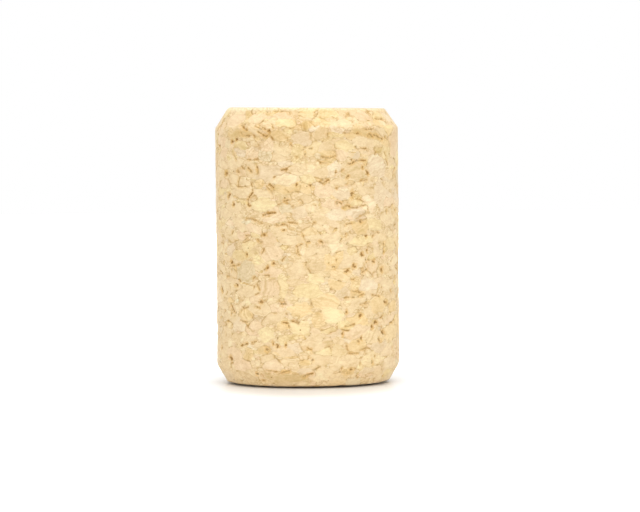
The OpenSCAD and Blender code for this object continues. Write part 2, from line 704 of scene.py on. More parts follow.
class ChipLandmark(Enum):
    """Granules that give the photographed side its look, placed from the crown to the foot.

    Each value lists the fields of a SeenChip.
    """

    CROWN_YELLOW = (286, 122.5, 22, 9, 0, CorkShade.CREAM, CorkTint.STRAW)
    CROWN_PEACH = (283, 115.5, 18, 8, 0, CorkShade.STRAW, CorkTint.PEACH)
    CROWN_HOLLOW = (306, 124.5, 7, 6.5, 0, CorkShade.BARK, CorkTint.AMBER)
    CROWN_FAWN = (363, 115, 17, 10, 0, CorkShade.STRAW, CorkTint.PEACH)
    CROWN_CORNER = (378, 113.5, 10, 8, 0, CorkShade.WHEAT, CorkTint.STRAW)
    CROWN_CREAM = (343, 123, 20, 9, 0, CorkShade.CREAM, CorkTint.PLAIN)
    CROWN_STRAW = (322, 122, 16, 9, -20, CorkShade.WHEAT, CorkTint.STRAW)
    CROWN_LEFT = (235, 120, 16, 12, 0, CorkShade.WHEAT, CorkTint.PEACH)
    SHOULDER_LEFT = (238, 133, 26, 8, 0, CorkShade.TAN, CorkTint.AMBER)
    SHOULDER_MIDDLE = (278, 134, 15, 9, 0, CorkShade.SAND, CorkTint.AMBER)
    SHOULDER_NOTCH = (264, 133, 10, 6, 25, CorkShade.STRAW, CorkTint.PEACH)
    SHOULDER_RIGHT = (370, 135, 26, 9, -14, CorkShade.TAN, CorkTint.AMBER)
    SHOULDER_STREAK = (350, 136, 15, 6, 0, CorkShade.SAND, CorkTint.AMBER)
    ROSE_UNDER_CROWN = (302, 137, 18, 15, 0, CorkShade.STRAW, CorkTint.ROSE)
    FAWN_UNDER_CROWN = (320, 134, 15, 11, 0, CorkShade.STRAW, CorkTint.PLAIN)
    PALE_GREEN = (345, 144, 20, 9, 0, CorkShade.WHEAT, CorkTint.STRAW)
    ARCHED = (328, 147, 17, 11, 0, CorkShade.STRAW, CorkTint.PLAIN)
    LIPPED = (330, 154.5, 14, 7, 0, CorkShade.STRAW, CorkTint.AMBER)
    TAN_STREAK = (325, 162.5, 14, 5, 0, CorkShade.SAND, CorkTint.AMBER)
    ROUND_TAN = (355, 171, 24, 19, 0, CorkShade.SAND, CorkTint.PLAIN)
    ROUND_ROSE = (378, 165, 17, 20, 0, CorkShade.WHEAT, CorkTint.ROSE)
    CREAM_ROSE = (334, 170, 13, 15, 0, CorkShade.CREAM, CorkTint.ROSE)
    PEACH_LEFT = (267, 146, 13, 12, 0, CorkShade.WHEAT, CorkTint.PEACH)
    GREY_GREEN = (267, 156, 12, 8, 0, CorkShade.STRAW, CorkTint.GREY)
    UNDERLINED = (253, 155, 13, 9, 0, CorkShade.STRAW, CorkTint.PEACH)
    OLIVE_LEFT = (241, 146, 12, 8, 0, CorkShade.SAND, CorkTint.STRAW)
    ROSE_STEP = (285, 165, 13, 8, 0, CorkShade.WHEAT, CorkTint.ROSE)
    STRAW_SLANT = (297, 153, 9, 13, -25, CorkShade.STRAW, CorkTint.STRAW)
    LONG_PALE = (285, 181, 29, 11, 0, CorkShade.CREAM, CorkTint.PLAIN)
    SHORT_PALE = (308, 178.5, 16, 11, 0, CorkShade.CREAM, CorkTint.STRAW)
    WEDGE_TOP = (262, 194, 21, 8, 0, CorkShade.WHEAT, CorkTint.PLAIN)
    WEDGE_LOW = (261, 205, 25, 11, 4, CorkShade.CREAM, CorkTint.STRAW)
    AMBER_STREAK = (287, 191, 27, 8, 0, CorkShade.SAND, CorkTint.AMBER)
    AMBER_NOOK = (258, 184, 8, 9, 0, CorkShade.SAND, CorkTint.AMBER)
    BEIGE_HOOK = (284, 206, 13, 9, 0, CorkShade.STRAW, CorkTint.GREY)
    UNDER_STROKE = (273, 219, 22, 10, 4, CorkShade.WHEAT, CorkTint.PEACH)
    PINK_SQUARE = (300, 213, 16, 12, 0, CorkShade.WHEAT, CorkTint.ROSE)
    UNDER_BROW = (253, 228, 17, 10, -10, CorkShade.WHEAT, CorkTint.PEACH)
    UNDER_WAVE = (279, 230, 18, 9, 0, CorkShade.WHEAT, CorkTint.PLAIN)
    PEACH_MIDDLE = (322, 191, 18, 13, 0, CorkShade.WHEAT, CorkTint.PEACH)
    PINK_MIDDLE = (343, 194, 14, 11, 0, CorkShade.WHEAT, CorkTint.ROSE)
    PALE_PINK = (338, 215, 20, 11, 0, CorkShade.CREAM, CorkTint.ROSE)
    TAN_RIGHT = (361, 227, 20, 13, 0, CorkShade.SAND, CorkTint.AMBER)
    RUSTY_LIP = (348, 207.5, 13, 5, 0, CorkShade.TAN, CorkTint.AMBER)
    CURLED = (358, 203.5, 15, 8, 12, CorkShade.WHEAT, CorkTint.STRAW)
    UPRIGHT = (381, 194, 9, 28, 0, CorkShade.WHEAT, CorkTint.ROSE)
    HOODED = (346, 229, 15, 10, 10, CorkShade.WHEAT, CorkTint.PLAIN)
    PALE_LEFT = (247, 246, 13, 10, 0, CorkShade.WHEAT, CorkTint.STRAW)
    OLIVE_STREAK = (241, 256, 18, 8, 0, CorkShade.SAND, CorkTint.STRAW)
    GREY_CHIP = (245, 271, 18, 20, 0, CorkShade.SAND, CorkTint.GREY)
    LEMON = (257, 259, 11, 8, 0, CorkShade.CREAM, CorkTint.STRAW)
    BROAD_PEACH = (273, 253, 23, 15, 0, CorkShade.WHEAT, CorkTint.PEACH)
    DOTTED = (273, 272, 17, 10, 0, CorkShade.WHEAT, CorkTint.PEACH)
    BROAD_ROSE = (269, 288, 20, 15, 0, CorkShade.STRAW, CorkTint.PEACH)
    TALL_STRAW = (284, 287, 11, 20, 0, CorkShade.CREAM, CorkTint.STRAW)
    CURVED_SIDE = (307, 251, 18, 13, 0, CorkShade.WHEAT, CorkTint.PLAIN)
    CREAM_MIDDLE = (296, 272, 17, 14, 0, CorkShade.WHEAT, CorkTint.PLAIN)
    WHITEST = (339, 247, 18, 12, 0, CorkShade.PALE, CorkTint.PLAIN)
    TAN_MIDDLE = (318, 267, 24, 9, 8, CorkShade.SAND, CorkTint.PLAIN)
    UNDER_TAN = (316, 279, 18, 9, 0, CorkShade.CREAM, CorkTint.STRAW)
    SMALL_PINK = (357, 273, 11, 6, 0, CorkShade.WHEAT, CorkTint.ROSE)
    GREY_PINK = (369, 285, 18, 11, 0, CorkShade.CREAM, CorkTint.ROSE)
    AMBER_MIDDLE = (336, 284, 13, 9, 0, CorkShade.STRAW, CorkTint.AMBER)
    AMBER_TALL = (356, 285, 9, 12, 0, CorkShade.STRAW, CorkTint.AMBER)
    BROAD_STRAW = (327, 300, 28, 16, 0, CorkShade.WHEAT, CorkTint.AMBER)
    AMBER_CHIP = (379, 303, 14, 17, 0, CorkShade.STRAW, CorkTint.AMBER)
    AMBER_LEDGE = (358, 293.5, 13, 6, 8, CorkShade.STRAW, CorkTint.AMBER)
    PINK_LEFT = (237, 325, 11, 12, 0, CorkShade.WHEAT, CorkTint.ROSE)
    AMBER_LEFT = (246, 316, 14, 9, 0, CorkShade.STRAW, CorkTint.AMBER)
    BUTTER = (334, 316, 20, 17, 0, CorkShade.PALE, CorkTint.STRAW)
    BUTTER_SIDE = (317, 320, 12, 12, 0, CorkShade.STRAW, CorkTint.AMBER)
    BOXED = (284, 327, 12, 7, 0, CorkShade.STRAW, CorkTint.AMBER)
    STRAW_LOW = (301, 329, 19, 13, 0, CorkShade.CREAM, CorkTint.STRAW)
    PALE_LOW = (264, 335, 12, 12, 0, CorkShade.CREAM, CorkTint.STRAW)
    ROSE_SLIVER = (337, 333, 17, 7, 12, CorkShade.STRAW, CorkTint.ROSE)
    RISING = (247, 338.5, 19, 8, 12, CorkShade.WHEAT, CorkTint.PLAIN)
    AMBER_PIT = (264, 350, 12, 7, 0, CorkShade.SAND, CorkTint.AMBER)
    AMBER_FOOT = (248, 356, 11, 11, 0, CorkShade.SAND, CorkTint.AMBER)
    LINED_TAN = (356, 346, 17, 14, 0, CorkShade.STRAW, CorkTint.AMBER)
    ROSE_RIGHT = (379, 347, 16, 11, 0, CorkShade.STRAW, CorkTint.ROSE)
    LEMON_LOW = (325, 352, 16, 7, 0, CorkShade.CREAM, CorkTint.STRAW)
    PEACH_FOOT = (272, 365, 21, 10, 0, CorkShade.WHEAT, CorkTint.PEACH)
    TAN_FOOT = (285, 378, 43, 11, 0, CorkShade.TAN, CorkTint.PLAIN)
    CREAM_FOOT = (325, 375, 17, 14, 0, CorkShade.CREAM, CorkTint.PLAIN)
    AMBER_TOE = (347, 372, 11, 8, 0, CorkShade.SAND, CorkTint.AMBER)


# Pits and short cracks that the photograph shows apart from the granules' edges, read off as the column
# and row of each, its width and height in pixels, and its lean where it has one.
PIT_LANDMARKS = tuple(
    SeenSpot(*sizes)
    for sizes in (
        (291, 145.5, 3, 3), (305, 154, 3, 3), (256.5, 167.5, 3, 3), (226, 173.5, 3.5, 4),
        (238, 171.5, 4, 3, -40), (231.5, 141.5, 3, 3), (236, 139, 3.5, 2.8), (268.5, 131, 4, 3, 30),
        (336, 172.5, 3, 3), (363, 167, 3, 3.5), (368.5, 173, 3.5, 3.5), (296.5, 185, 3, 2.8),
        (310, 185, 3.2, 3), (352.5, 194.5, 4.5, 5), (337.5, 203, 5, 3, -55), (233, 204.5, 3.5, 3.5),
        (228.5, 196, 4.5, 3, 50), (263.5, 235, 3.2, 4), (283.5, 230, 2.8, 3), (366.5, 235.5, 3.5, 3),
        (361, 221.5, 4, 2.8), (246, 254.5, 3.2, 3.2), (273, 263.5, 4, 3, -15), (267, 268, 3.5, 2.8),
        (231, 262, 3.5, 3), (236, 285, 3, 5), (221, 289, 4.5, 3, -45), (334, 267, 6, 2.8),
        (347.5, 271, 7, 3, 25), (354.5, 266, 6, 3, -45), (362.5, 254.5, 5, 3, -70),
        (366.5, 259.5, 3.5, 3), (374, 261.5, 4.5, 2.8), (382, 270, 4, 4), (283, 304, 8, 2.8, -8),
        (260.5, 302, 5, 2.6), (232, 309, 6, 3, -50), (267, 349.8, 6, 3.2, -20), (277, 346.5, 2.8, 6),
        (273, 343, 3, 3.2), (285.5, 345.5, 3, 3), (230, 358, 4.5, 3.5, -20), (256.5, 374.5, 4, 2.8, -25),
        (373, 326.5, 3.2, 4), (376, 322.5, 3, 5), (384, 333, 5.5, 3, -35), (380, 340, 4.5, 3, -40),
        (373, 362, 3.2, 4), (312.5, 360, 4, 2.8, 20), (343, 334, 3, 3), (361, 315.5, 5.5, 2.8, 30),
        (347, 312, 3, 3), (362, 338.5, 3, 3), (358.5, 341.5, 3.5, 2.8), (351.5, 370, 2.8, 3.2),
        (386, 302, 4.5, 3, -20),
    )
)


class StrokeKind(Enum):
    """How dark a stroke is, from 0 to 1, with its width in pixels of the photograph."""

    DEEP = (1.08, 1.7)
    CLEAR = (0.8, 1.4)


# Open borders and cracks that the photograph shows, read from the crown to the foot.
# Each is a bent line, given by the column and row of each of its points in turn.
STROKE_LANDMARKS = {
    StrokeKind.DEEP: (
        (241, 124.5, 244, 128, 246.5, 129.5), (262, 134.5, 264.5, 136, 267, 136),
        (247, 168, 249, 169.5, 251, 172.5), (281, 170.5, 284, 169.7, 287, 169), (309, 148.5, 312, 148.2),
        (357.3, 133.8, 359, 133.5), (368, 136.5, 370, 133.5, 372, 136, 373.5, 136.8),
        (374, 135, 377, 135.8, 380, 137.5, 383, 139), (326, 157.8, 330, 158, 332, 157),
        (348, 164, 352, 163.7, 355, 161.5, 358, 160.3, 366, 160.5),
        (252, 192, 250, 195, 247.5, 198, 246.7, 202.5, 248, 206), (248, 206, 249.8, 205.5),
        (268.8, 184, 271, 186, 273, 187.3), (283.5, 201.5, 286, 200.5, 289, 200),
        (262.5, 215.5, 266, 214.3, 270, 213.3, 275, 212.6), (306.5, 242.3, 309.5, 241.5),
        (347, 178, 349.5, 175.3), (320, 181.5, 322.5, 183.7, 324.5, 183, 327, 180.7, 329, 180),
        (337, 204.5, 337.3, 201.8, 339.5, 202.3, 342, 204),
        (343, 208, 345.5, 206.2, 348.5, 206, 351, 207.5), (297, 247.5, 299.5, 245.5, 302, 244.5),
        (367.5, 250.5), (231, 307), (280, 304.5, 283, 303.5, 285, 303.8), (230.8, 313),
        (282.5, 322.5, 287.5, 323.3), (240, 345.8, 243, 345.2, 246.5, 343.5),
        (303, 378, 306, 376, 310, 374.8, 313, 374.3), (319, 240.5, 323, 243),
    ),
    StrokeKind.CLEAR: (
        (274, 111, 281, 111.2, 289, 111), (258, 124, 263, 127.5, 265, 129), (271.5, 123.5, 273, 128),
        (257, 131, 261, 134), (240, 132, 242, 135, 247, 135.5, 249, 136), (253, 135, 254.5, 137.5),
        (217.5, 130, 218, 134), (287, 138, 287.5, 140.5), (257.5, 149, 259.5, 147.5),
        (304, 147.5, 308, 145.8), (301, 150.5, 303.5, 149.5), (297, 156.5, 295.5, 158.5),
        (233, 154.5, 236, 160), (248, 159.5, 252, 160, 257, 159), (218.5, 146),
        (310, 121.5, 313, 124, 316, 126.5), (320, 117, 325, 119, 328, 120.5),
        (346.5, 116.5, 347.5, 114, 349.5, 113.3), (367, 110.5, 370, 112.5, 372, 115.5),
        (375, 118, 379, 118.5, 383, 118.3), (344, 133, 350, 133), (365, 129.7, 368, 129.3, 374, 129),
        (384.5, 134.5, 386, 138), (388.8, 137.5), (355.5, 146, 357, 148.5, 362, 148.7, 367, 148.3),
        (322, 156.5, 326, 157.8), (332, 157, 336, 155.8), (321, 162.5, 328, 163), (363, 165.5, 363.5, 168),
        (367.5, 164, 367.8, 166), (366, 170, 367.5, 171.5), (375.3, 155, 376.5, 151.5),
        (385, 152, 386.5, 155.5), (386, 159, 388, 162.5, 388.8, 165), (390.3, 153.5), (340, 172, 344, 169),
        (250, 183.5, 251.5, 187, 252, 191), (266, 186, 269, 189.5, 271.3, 192, 272.7, 195, 272.7, 198.5),
        (262.3, 183), (273, 177.5, 275, 176.5), (285, 189, 288, 191.5), (285, 202, 288, 203),
        (291.5, 207, 293.5, 205.8), (246, 218.5, 252, 219.5, 258, 222, 262, 223.5),
        (274, 225, 279, 225.8, 283, 224.3, 287, 224.7), (288, 222.3, 297, 223.2),
        (245, 235.5, 248.5, 235.5), (257, 239.3, 259.5, 242, 262, 241.8), (302, 233, 304, 238, 306, 241.5),
        (232.5, 231, 231.5, 234), (337, 188.3), (346, 184.3, 347.5, 183.2),
        (361, 180.8, 365, 180.3, 367.5, 179.5), (386.7, 209, 386.6, 213.5),
        (356.5, 199, 359, 199, 361.5, 200, 364.5, 202, 366, 201.5),
        (351, 207.7, 355, 208, 359, 207.3, 363, 205.5, 367, 204.8), (367, 204.8, 368.3, 207, 368.7, 210),
        (312, 204.8, 316, 205.5), (360.5, 216), (344.5, 226.5, 346, 224.8, 349, 223.7, 352, 223.3),
        (313.5, 222.5, 316, 223), (346.5, 233, 345, 236, 346, 237),
        (372.5, 237.5, 374, 234, 377, 232.5, 380, 232.8), (222.8, 246),
        (231, 265.5, 234, 265.8, 237, 264.8, 239.5, 264.3), (231, 270), (219, 270.5, 222, 274),
        (226, 276.5, 228.5, 274), (225, 294.5, 226.5, 291.5), (261, 254, 263, 251, 264, 248.5),
        (285, 256.5, 283, 259, 281.5, 261), (275, 264, 277, 265),
        (297.5, 248, 297.6, 251.5, 298.5, 254, 300, 255.3), (306.5, 244, 306.3, 247),
        (252, 279, 254.5, 276.5), (253.5, 287), (256, 283, 257.5, 287, 259.3, 290), (258, 302, 263, 302.3),
        (254, 306.5, 258, 307.3, 260, 308.5), (241, 306.5, 244, 308.5, 248, 307), (241, 310.3),
        (328.7, 263), (336.7, 260), (363.5, 263, 364.5, 265), (361.5, 269, 364, 268),
        (362, 272.5, 365, 271, 367.5, 269), (368.5, 266.3), (373.5, 274.5),
        (384, 241, 384.3, 248, 384, 254), (391, 261.5, 392.5, 259, 394, 256.5), (382.3, 286.5),
        (391, 289, 391.5, 292.5), (352, 279.5, 355, 279.3), (331.5, 287.5, 333, 290.5),
        (352.5, 291, 357, 292, 362, 292.5), (345, 297.8, 352, 297.3, 357, 297.5, 361, 295.3, 364, 293.8),
        (372.5, 295, 376, 295.3, 380, 296.5), (361, 304.5, 364, 303.3, 369, 303.5), (235, 312.3),
        (232.5, 316, 235, 315.8), (240, 320, 243, 322, 247, 322, 249, 320.5), (286, 314, 288, 315),
        (288.3, 325, 288.6, 327), (292, 322, 294.5, 320.8), (224.8, 336, 225.5, 333),
        (250, 343.3, 253, 342.5, 256, 341.5), (307, 347.5, 309.5, 349.5, 312, 349.3),
        (308.2, 356.5, 308.2, 358.5), (262, 381.5, 264, 381.2), (266, 370.5, 272, 371.5, 277, 372.3),
        (281, 374, 285, 372, 290, 370.3), (345.5, 326.5, 348.5, 326.3, 352, 325.3, 355, 324.3),
        (381, 318.5, 383.5, 315), (380, 330.5, 382, 330), (346.5, 344, 347.3, 347, 348, 349.5),
        (349.5, 353.5, 354, 353.7, 360, 353), (360.5, 350.5, 364, 349, 367.5, 347), (342, 368.3),
        (347, 374, 350, 373.7), (375.5, 356.8), (361, 362.5, 360.5, 366), (357, 376.5, 358, 379),
        (383.3, 377), (392.8, 346.5, 392.3, 349),
    ),
}


@dataclass
class Granules:
    """Granules as arrays, one row each.

    Attributes:
        centre: Centre of each granule.
        reach: Half width of each granule.
        shape: Matrix that turns an offset from the centre into a round distance.
        tone: Place on the colour ramp.
        cast: Share of red, green and blue that the granule's tint leaves.
        level: How deep the sander cut the granule, from 0 to 1.
    """

    centre: np.ndarray
    reach: np.ndarray
    shape: np.ndarray
    tone: np.ndarray
    cast: np.ndarray
    level: np.ndarray

    @classmethod
    def joined(cls, groups: "Sequence[Granules]") -> "Granules":
        """Puts groups of granules together in one."""
        names = [column.name for column in fields(cls)]
        return cls(**{name: np.concatenate([getattr(group, name) for group in groups]) for name in names})

    def distance(self, points: np.ndarray, which: np.ndarray) -> np.ndarray:
        """Measures how far points lie outside granules.

        Args:
            points: Places, one a row.
            which: Granules to measure from, as many for each place as it has columns.

        Returns:
            Distance beyond each granule's own half width, in the shape of which.
        """
        offset = points[:, None, :] - self.centre[which]
        round_offset = np.einsum("pkij,pkj->pki", self.shape[which], offset)
        return np.linalg.norm(round_offset, axis=2) - self.reach[which]

    def slope(self, points: np.ndarray, which: np.ndarray) -> np.ndarray:
        """Gives the direction in which each granule's distance grows, at one place for each granule."""
        offset = points - self.centre[which]
        round_offset = np.einsum("pij,pj->pi", self.shape[which], offset)
        least_size = 1e-6
        size = np.maximum(np.linalg.norm(round_offset, axis=1, keepdims=True), least_size)
        return np.einsum("pij,pi->pj", self.shape[which], round_offset / size)


@dataclass
class Granulate:
    """The packing of granules that the turned surface cuts through."""

    skin: TurnedSkin
    viewpoint: Viewpoint
    seed: int = 24
    flatness: float = 1.95
    flatness_spread: float = 0.3
    lean_spread: float = 0.26
    stretch_most: float = 0.45
    depth_share: float = 0.75
    odd_lightness: float = 9.0
    tint_most: float = 1.2
    seen_tint: float = 0.8
    seen_apart: float = 0.7
    seen_level: float = 0.12
    seen_contrast: float = 0.8
    near_counts: tuple[int, ...] = (8, 4, 5, 6, 6)
    batch: int = 4096
    warps: tuple[Span, ...] = ((1.7, 0.42), (0.6, 0.17))
    granules: Granules = field(init=False)
    bands: list[np.ndarray] = field(init=False)

    def build(self) -> None:
        """Seats the landmarks, then drops granules of each size in turn where they find room."""
        rng = np.random.default_rng(self.seed)
        seen = self.seen_chips()
        groups = [seen]
        centres, reaches = [], []
        for size in Sieve:
            kept = list(self.drop(size.value, rng, centres, reaches, seen))
            centres.extend(centre for centre, _ in kept)
            reaches.extend(reach for _, reach in kept)
            groups.append(self.loose(size.value, rng, kept))
        self.granules = Granules.joined(groups)
        ends = np.cumsum([len(group.reach) for group in groups])
        self.bands = [np.arange(end - len(group.reach), end) for end, group in zip(ends, groups)]

    def seen_chips(self) -> Granules:
        """Makes the granules that stand out on the photographed side, each at its seat.

        Returns:
            The granules, in the order of the landmarks.
        """
        chips = [SeenChip(*landmark.value) for landmark in ChipLandmark]
        seats = [self.viewpoint.seat(chip.x_px, chip.y_px, self.skin.profile) for chip in chips]
        lightness = np.array([chip.shade.lightness for chip in chips])
        usual = Sieve.GRAIN.value.lightness
        return Granules(
            centre=self.warped(np.array([seat.place for seat in seats])),
            reach=np.array([chip.halves(seat)[0] for chip, seat in zip(chips, seats)]),
            shape=np.array([chip.form(seat) for chip, seat in zip(chips, seats)]),
            tone=CorkShade.place(usual + self.seen_contrast * (lightness - usual)),
            cast=np.array([chip.tint.cast for chip in chips]) ** self.seen_tint,
            level=np.full(len(chips), self.seen_level),
        )

    def loose(
        self, band: SizeBand, rng: np.random.Generator, kept: Sequence[tuple[np.ndarray, float]]
    ) -> Granules:
        """Gives each granule of one size its shape and tone.

        Args:
            band: Size of the granules.
            rng: Source of the random draws.
            kept: Centre and half width of each granule.

        Returns:
            The granules.
        """
        count = len(kept)
        odd = (rng.random(count) < band.odd_share) * rng.choice((-1, 1), count)
        lightness = rng.normal(band.lightness, band.spread, count) + odd * self.odd_lightness
        casts = np.array([tint.cast for tint in CorkTint])
        tint = rng.choice(len(casts), count, p=[tint.share for tint in CorkTint])
        return Granules(
            centre=np.array([centre for centre, _ in kept]),
            reach=np.array([reach for _, reach in kept]),
            shape=self.shapes(count, rng),
            tone=np.clip(CorkShade.place(lightness), 0, 1),
            cast=casts[tint] ** rng.uniform(0, self.tint_most, (count, 1)),
            level=rng.random(count) ** 2,
        )

    def drop(
        self,
        band: SizeBand,
        rng: np.random.Generator,
        centres: Sequence[np.ndarray],
        reaches: Sequence[float],
        seen: Granules,
    ) -> Iterable[tuple[np.ndarray, float]]:
        """Drops granules of one size at random, and keeps those that find room.

        Args:
            band: Size of the granules.
            rng: Source of the random draws.
            centres: Centres of the larger granules, in millimetres.
            reaches: Half widths of the larger granules.
            seen: Landmarks, which keep their room.

        Returns:
            Centre and half width of each granule that found room.
        """
        squash = np.array([1, 1, self.flatness])
        spots = rng.integers(0, len(self.skin.points), band.tries)
        reach = rng.uniform(band.least, band.most, band.tries)
        depth = rng.uniform(-1, 1, band.tries) * self.depth_share * reach
        places = self.skin.points[spots] + self.skin.normals[spots] * depth[:, None]
        room = np.full(band.tries, np.inf)
        for centre, shape, own in zip(seen.centre, seen.shape, seen.reach):
            room = np.minimum(room, np.linalg.norm((places - centre) @ shape.T, axis=1) - own)
        free = room > self.seen_apart * reach
        places, reach = places[free], reach[free]
        larger = search_tree([centre * squash for centre in centres], range(len(centres)))
        widest = max(reaches, default=0)
        cell = 2 * band.most
        steps = list(product((-1, 0, 1), repeat=3))
        taken: dict[tuple[int, ...], list[tuple[np.ndarray, float]]] = {}
        kept = []
        for place, own in zip(places * squash, reach):
            near = larger.find_range(place, band.apart * (own + widest))
            if any(gap < band.apart * (own + reaches[index]) for _, index, gap in near):
                continue
            home = tuple((place // cell).astype(int))
            around = [(home[0] + i, home[1] + j, home[2] + k) for i, j, k in steps]
            alike = [other for key in around for other in taken.get(key, ())]
            if any(np.linalg.norm(place - spot) < band.apart * (own + size) for spot, size in alike):
                continue
            taken.setdefault(home, []).append((place, own))
            kept.append((place / squash, own))
        return kept

    def shapes(self, count: int, rng: np.random.Generator) -> np.ndarray:
        """Draws each granule's flattening, lean and stretch.

        Args:
            count: How many granules there are.
            rng: Source of the random draws.

        Returns:
            A matrix for each granule that turns an offset into a round distance.
        """
        heading = rng.uniform(0, 2 * math.pi, count)
        lean = rng.normal(0, self.lean_spread, count)
        twist = rng.uniform(0, math.pi, count)
        flat = self.flatness * np.exp(rng.normal(0, self.flatness_spread, count))
        stretch = 1 - rng.uniform(0, self.stretch_most, count)
        matrices = np.zeros((count, 3, 3))
        for index in range(count):
            up = np.array(
                [
                    math.sin(lean[index]) * math.cos(heading[index]),
                    math.sin(lean[index]) * math.sin(heading[index]),
                    math.cos(lean[index]),
                ]
            )
            side = np.cross(up, (math.cos(twist[index]), math.sin(twist[index]), 0.0))
            side /= np.linalg.norm(side)
            matrices[index] = side * stretch[index], np.cross(up, side), up * flat[index]
        return matrices

    def warped(self, points: np.ndarray) -> np.ndarray:
        """Bends space a little, so that granule borders run unevenly."""
        bent = points.copy()
        for size, amount in self.warps:
            bent += amount * grain_warp(points, size)
        return bent

    def nearest(self, points: np.ndarray) -> tuple[np.ndarray, np.ndarray, np.ndarray]:
        """Finds the granule that holds each place, and the one next to it.

        Args:
            points: Warped places, one a row.

        Returns:
            The two granules of each place, one a column, and the gap between their distances.
        """
        squash = np.array([1, 1, self.flatness])
        columns = []
        for members, near in zip(self.bands, self.near_counts):
            tree = search_tree(self.granules.centre[members] * squash, members)
            columns.append([[found[1] for found in tree.find_n(p, near)] for p in (points * squash).tolist()])
        which = np.hstack([np.array(column) for column in columns])
        batches = [slice(start, start + self.batch) for start in range(0, len(points), self.batch)]
        gaps = np.vstack([self.granules.distance(points[batch], which[batch]) for batch in batches])
        order = np.argsort(gaps, axis=1)[:, :2]
        two = np.take_along_axis(which, order, axis=1)
        distance = np.take_along_axis(gaps, order, axis=1)
        return two[:, 0], two[:, 1], distance[:, 1] - distance[:, 0]


@dataclass
class Marks:
    """Pits, cracks and open stretches of granule borders, each a short bar with round ends.

    Attributes:
        centre: Middle of each mark.
        along: Direction of its length, divided by half of its width.
        over: Direction of its width, divided by half of it.
        reach: Half of the length between its round ends, in shares of half of its width.
        width: Half of its width.
        strength: How dark it is, from 0 to 1.
    """

    skin: TurnedSkin
    viewpoint: Viewpoint
    seed: int = 61
    pit_share: float = 0.85
    pit_strength: float = 1.25
    dot_share: float = 1.5
    hidden_count: int = 420
    hidden_from: float = -4.0
    hidden_facing: float = -0.5
    hidden_length: Span = (0.0, 0.6)
    hidden_width: Span = (0.09, 0.17)
    hidden_strength: Span = (0.4, 0.95)
    hidden_lean: float = 0.6
    near: int = 6
    centre: np.ndarray = field(init=False)
    along: np.ndarray = field(init=False)
    over: np.ndarray = field(init=False)
    reach: np.ndarray = field(init=False)
    width: np.ndarray = field(init=False)
    strength: np.ndarray = field(init=False)

    def build(self) -> None:
        """Seats the marks that the photograph shows, then scatters like ones over the other sides."""
        bars = [*self.pits(), *self.strokes(), *self.hidden()]
        start, end, out, width, strength = (np.array(column) for column in zip(*bars))
        length = np.linalg.norm(end - start, axis=1, keepdims=True)
        along = (end - start) / length
        over = np.cross(out, along)
        over /= np.linalg.norm(over, axis=1, keepdims=True)
        self.centre = (start + end) / 2
        self.along, self.over = along / width[:, None], over / width[:, None]
        self.reach = length[:, 0] / 2 / width
        self.width, self.strength = width, strength

    def pits(self) -> Iterable[Bar]:
        """Seats the pits of the photographed side.

        Returns:
            The bar of each pit.
        """
        for spot in PIT_LANDMARKS:
            seat = self.viewpoint.seat(spot.x_px, spot.y_px, self.skin.profile)
            (short, way), (long, _) = sorted(zip(spot.halves(seat) * self.pit_share, (1, 0)))
            half = spot.directions(seat)[way] * max(long - short, TINY)
            yield seat.place - half, seat.place + half, seat.out, short, self.pit_strength

    def strokes(self) -> Iterable[Bar]:
        """Seats the strokes of the photographed side, each stretch by itself.

        Returns:
            The bar of each stretch.
        """
        for kind, lines in STROKE_LANDMARKS.items():
            strength, wide_px = kind.value
            for line in lines:
                points = zip(line[::2], line[1::2])
                seats = [self.viewpoint.seat(x_px, y_px, self.skin.profile) for x_px, y_px in points]
                dot = seats[0]
                width = wide_px / 2 * dot.pixel[1]
                if len(seats) == 1:
                    half = dot.across * TINY
                    yield dot.place - half, dot.place + half, dot.out, width * self.dot_share, strength
                for first, second in zip(seats, seats[1:]):
                    yield first.place, second.place, first.out + second.out, width, strength

    def hidden(self) -> Iterable[Bar]:
        """Scatters marks over the sides that the photograph doesn't show.

        Returns:
            The bar of each mark.
        """
        rng = np.random.default_rng(self.seed)
        points, normals = self.skin.points, self.skin.normals
        away = np.flatnonzero((points[:, 1] > self.hidden_from) & (normals[:, 2] > self.hidden_facing))
        for index in rng.choice(away, self.hidden_count, replace=False):
            out = normals[index]
            steep = abs(out[2]) < FLAT_FACING
            across = np.cross((0.0, 0.0, 1.0), out) if steep else np.array([1.0, 0.0, 0.0])
            across /= np.linalg.norm(across)
            lean = rng.normal(0, self.hidden_lean)
            half = across * math.cos(lean) + np.cross(out, across) * math.sin(lean)
            half *= max(rng.uniform(*self.hidden_length), TINY)
            width, strength = rng.uniform(*self.hidden_width), rng.uniform(*self.hidden_strength)
            yield points[index] - half, points[index] + half, out, width, strength

    def nearest(self, points: np.ndarray) -> np.ndarray:
        """Finds the mark whose edge is nearest to each place.

        Args:
            points: Places, one a row.

        Returns:
            Index of a mark for each place.
        """
        tree = search_tree(self.centre, range(len(self.centre)))
        near = np.array([[found[1] for found in tree.find_n(p, self.near)] for p in points.tolist()])
        best = np.argmin(np.stack([self.distance(points, which) for which in near.T], axis=1), axis=1)
        return near[np.arange(len(points)), best]

    def distance(self, points: np.ndarray, which: np.ndarray) -> np.ndarray:
        """Measures how far each place is from its mark's spine, in shares of half of the mark's width."""
        offset = points - self.centre[which]
        across = np.abs(np.sum(offset * self.along[which], axis=1)) - self.reach[which]
        upward = np.sum(offset * self.over[which], axis=1)
        return np.hypot(np.maximum(across, 0), upward)


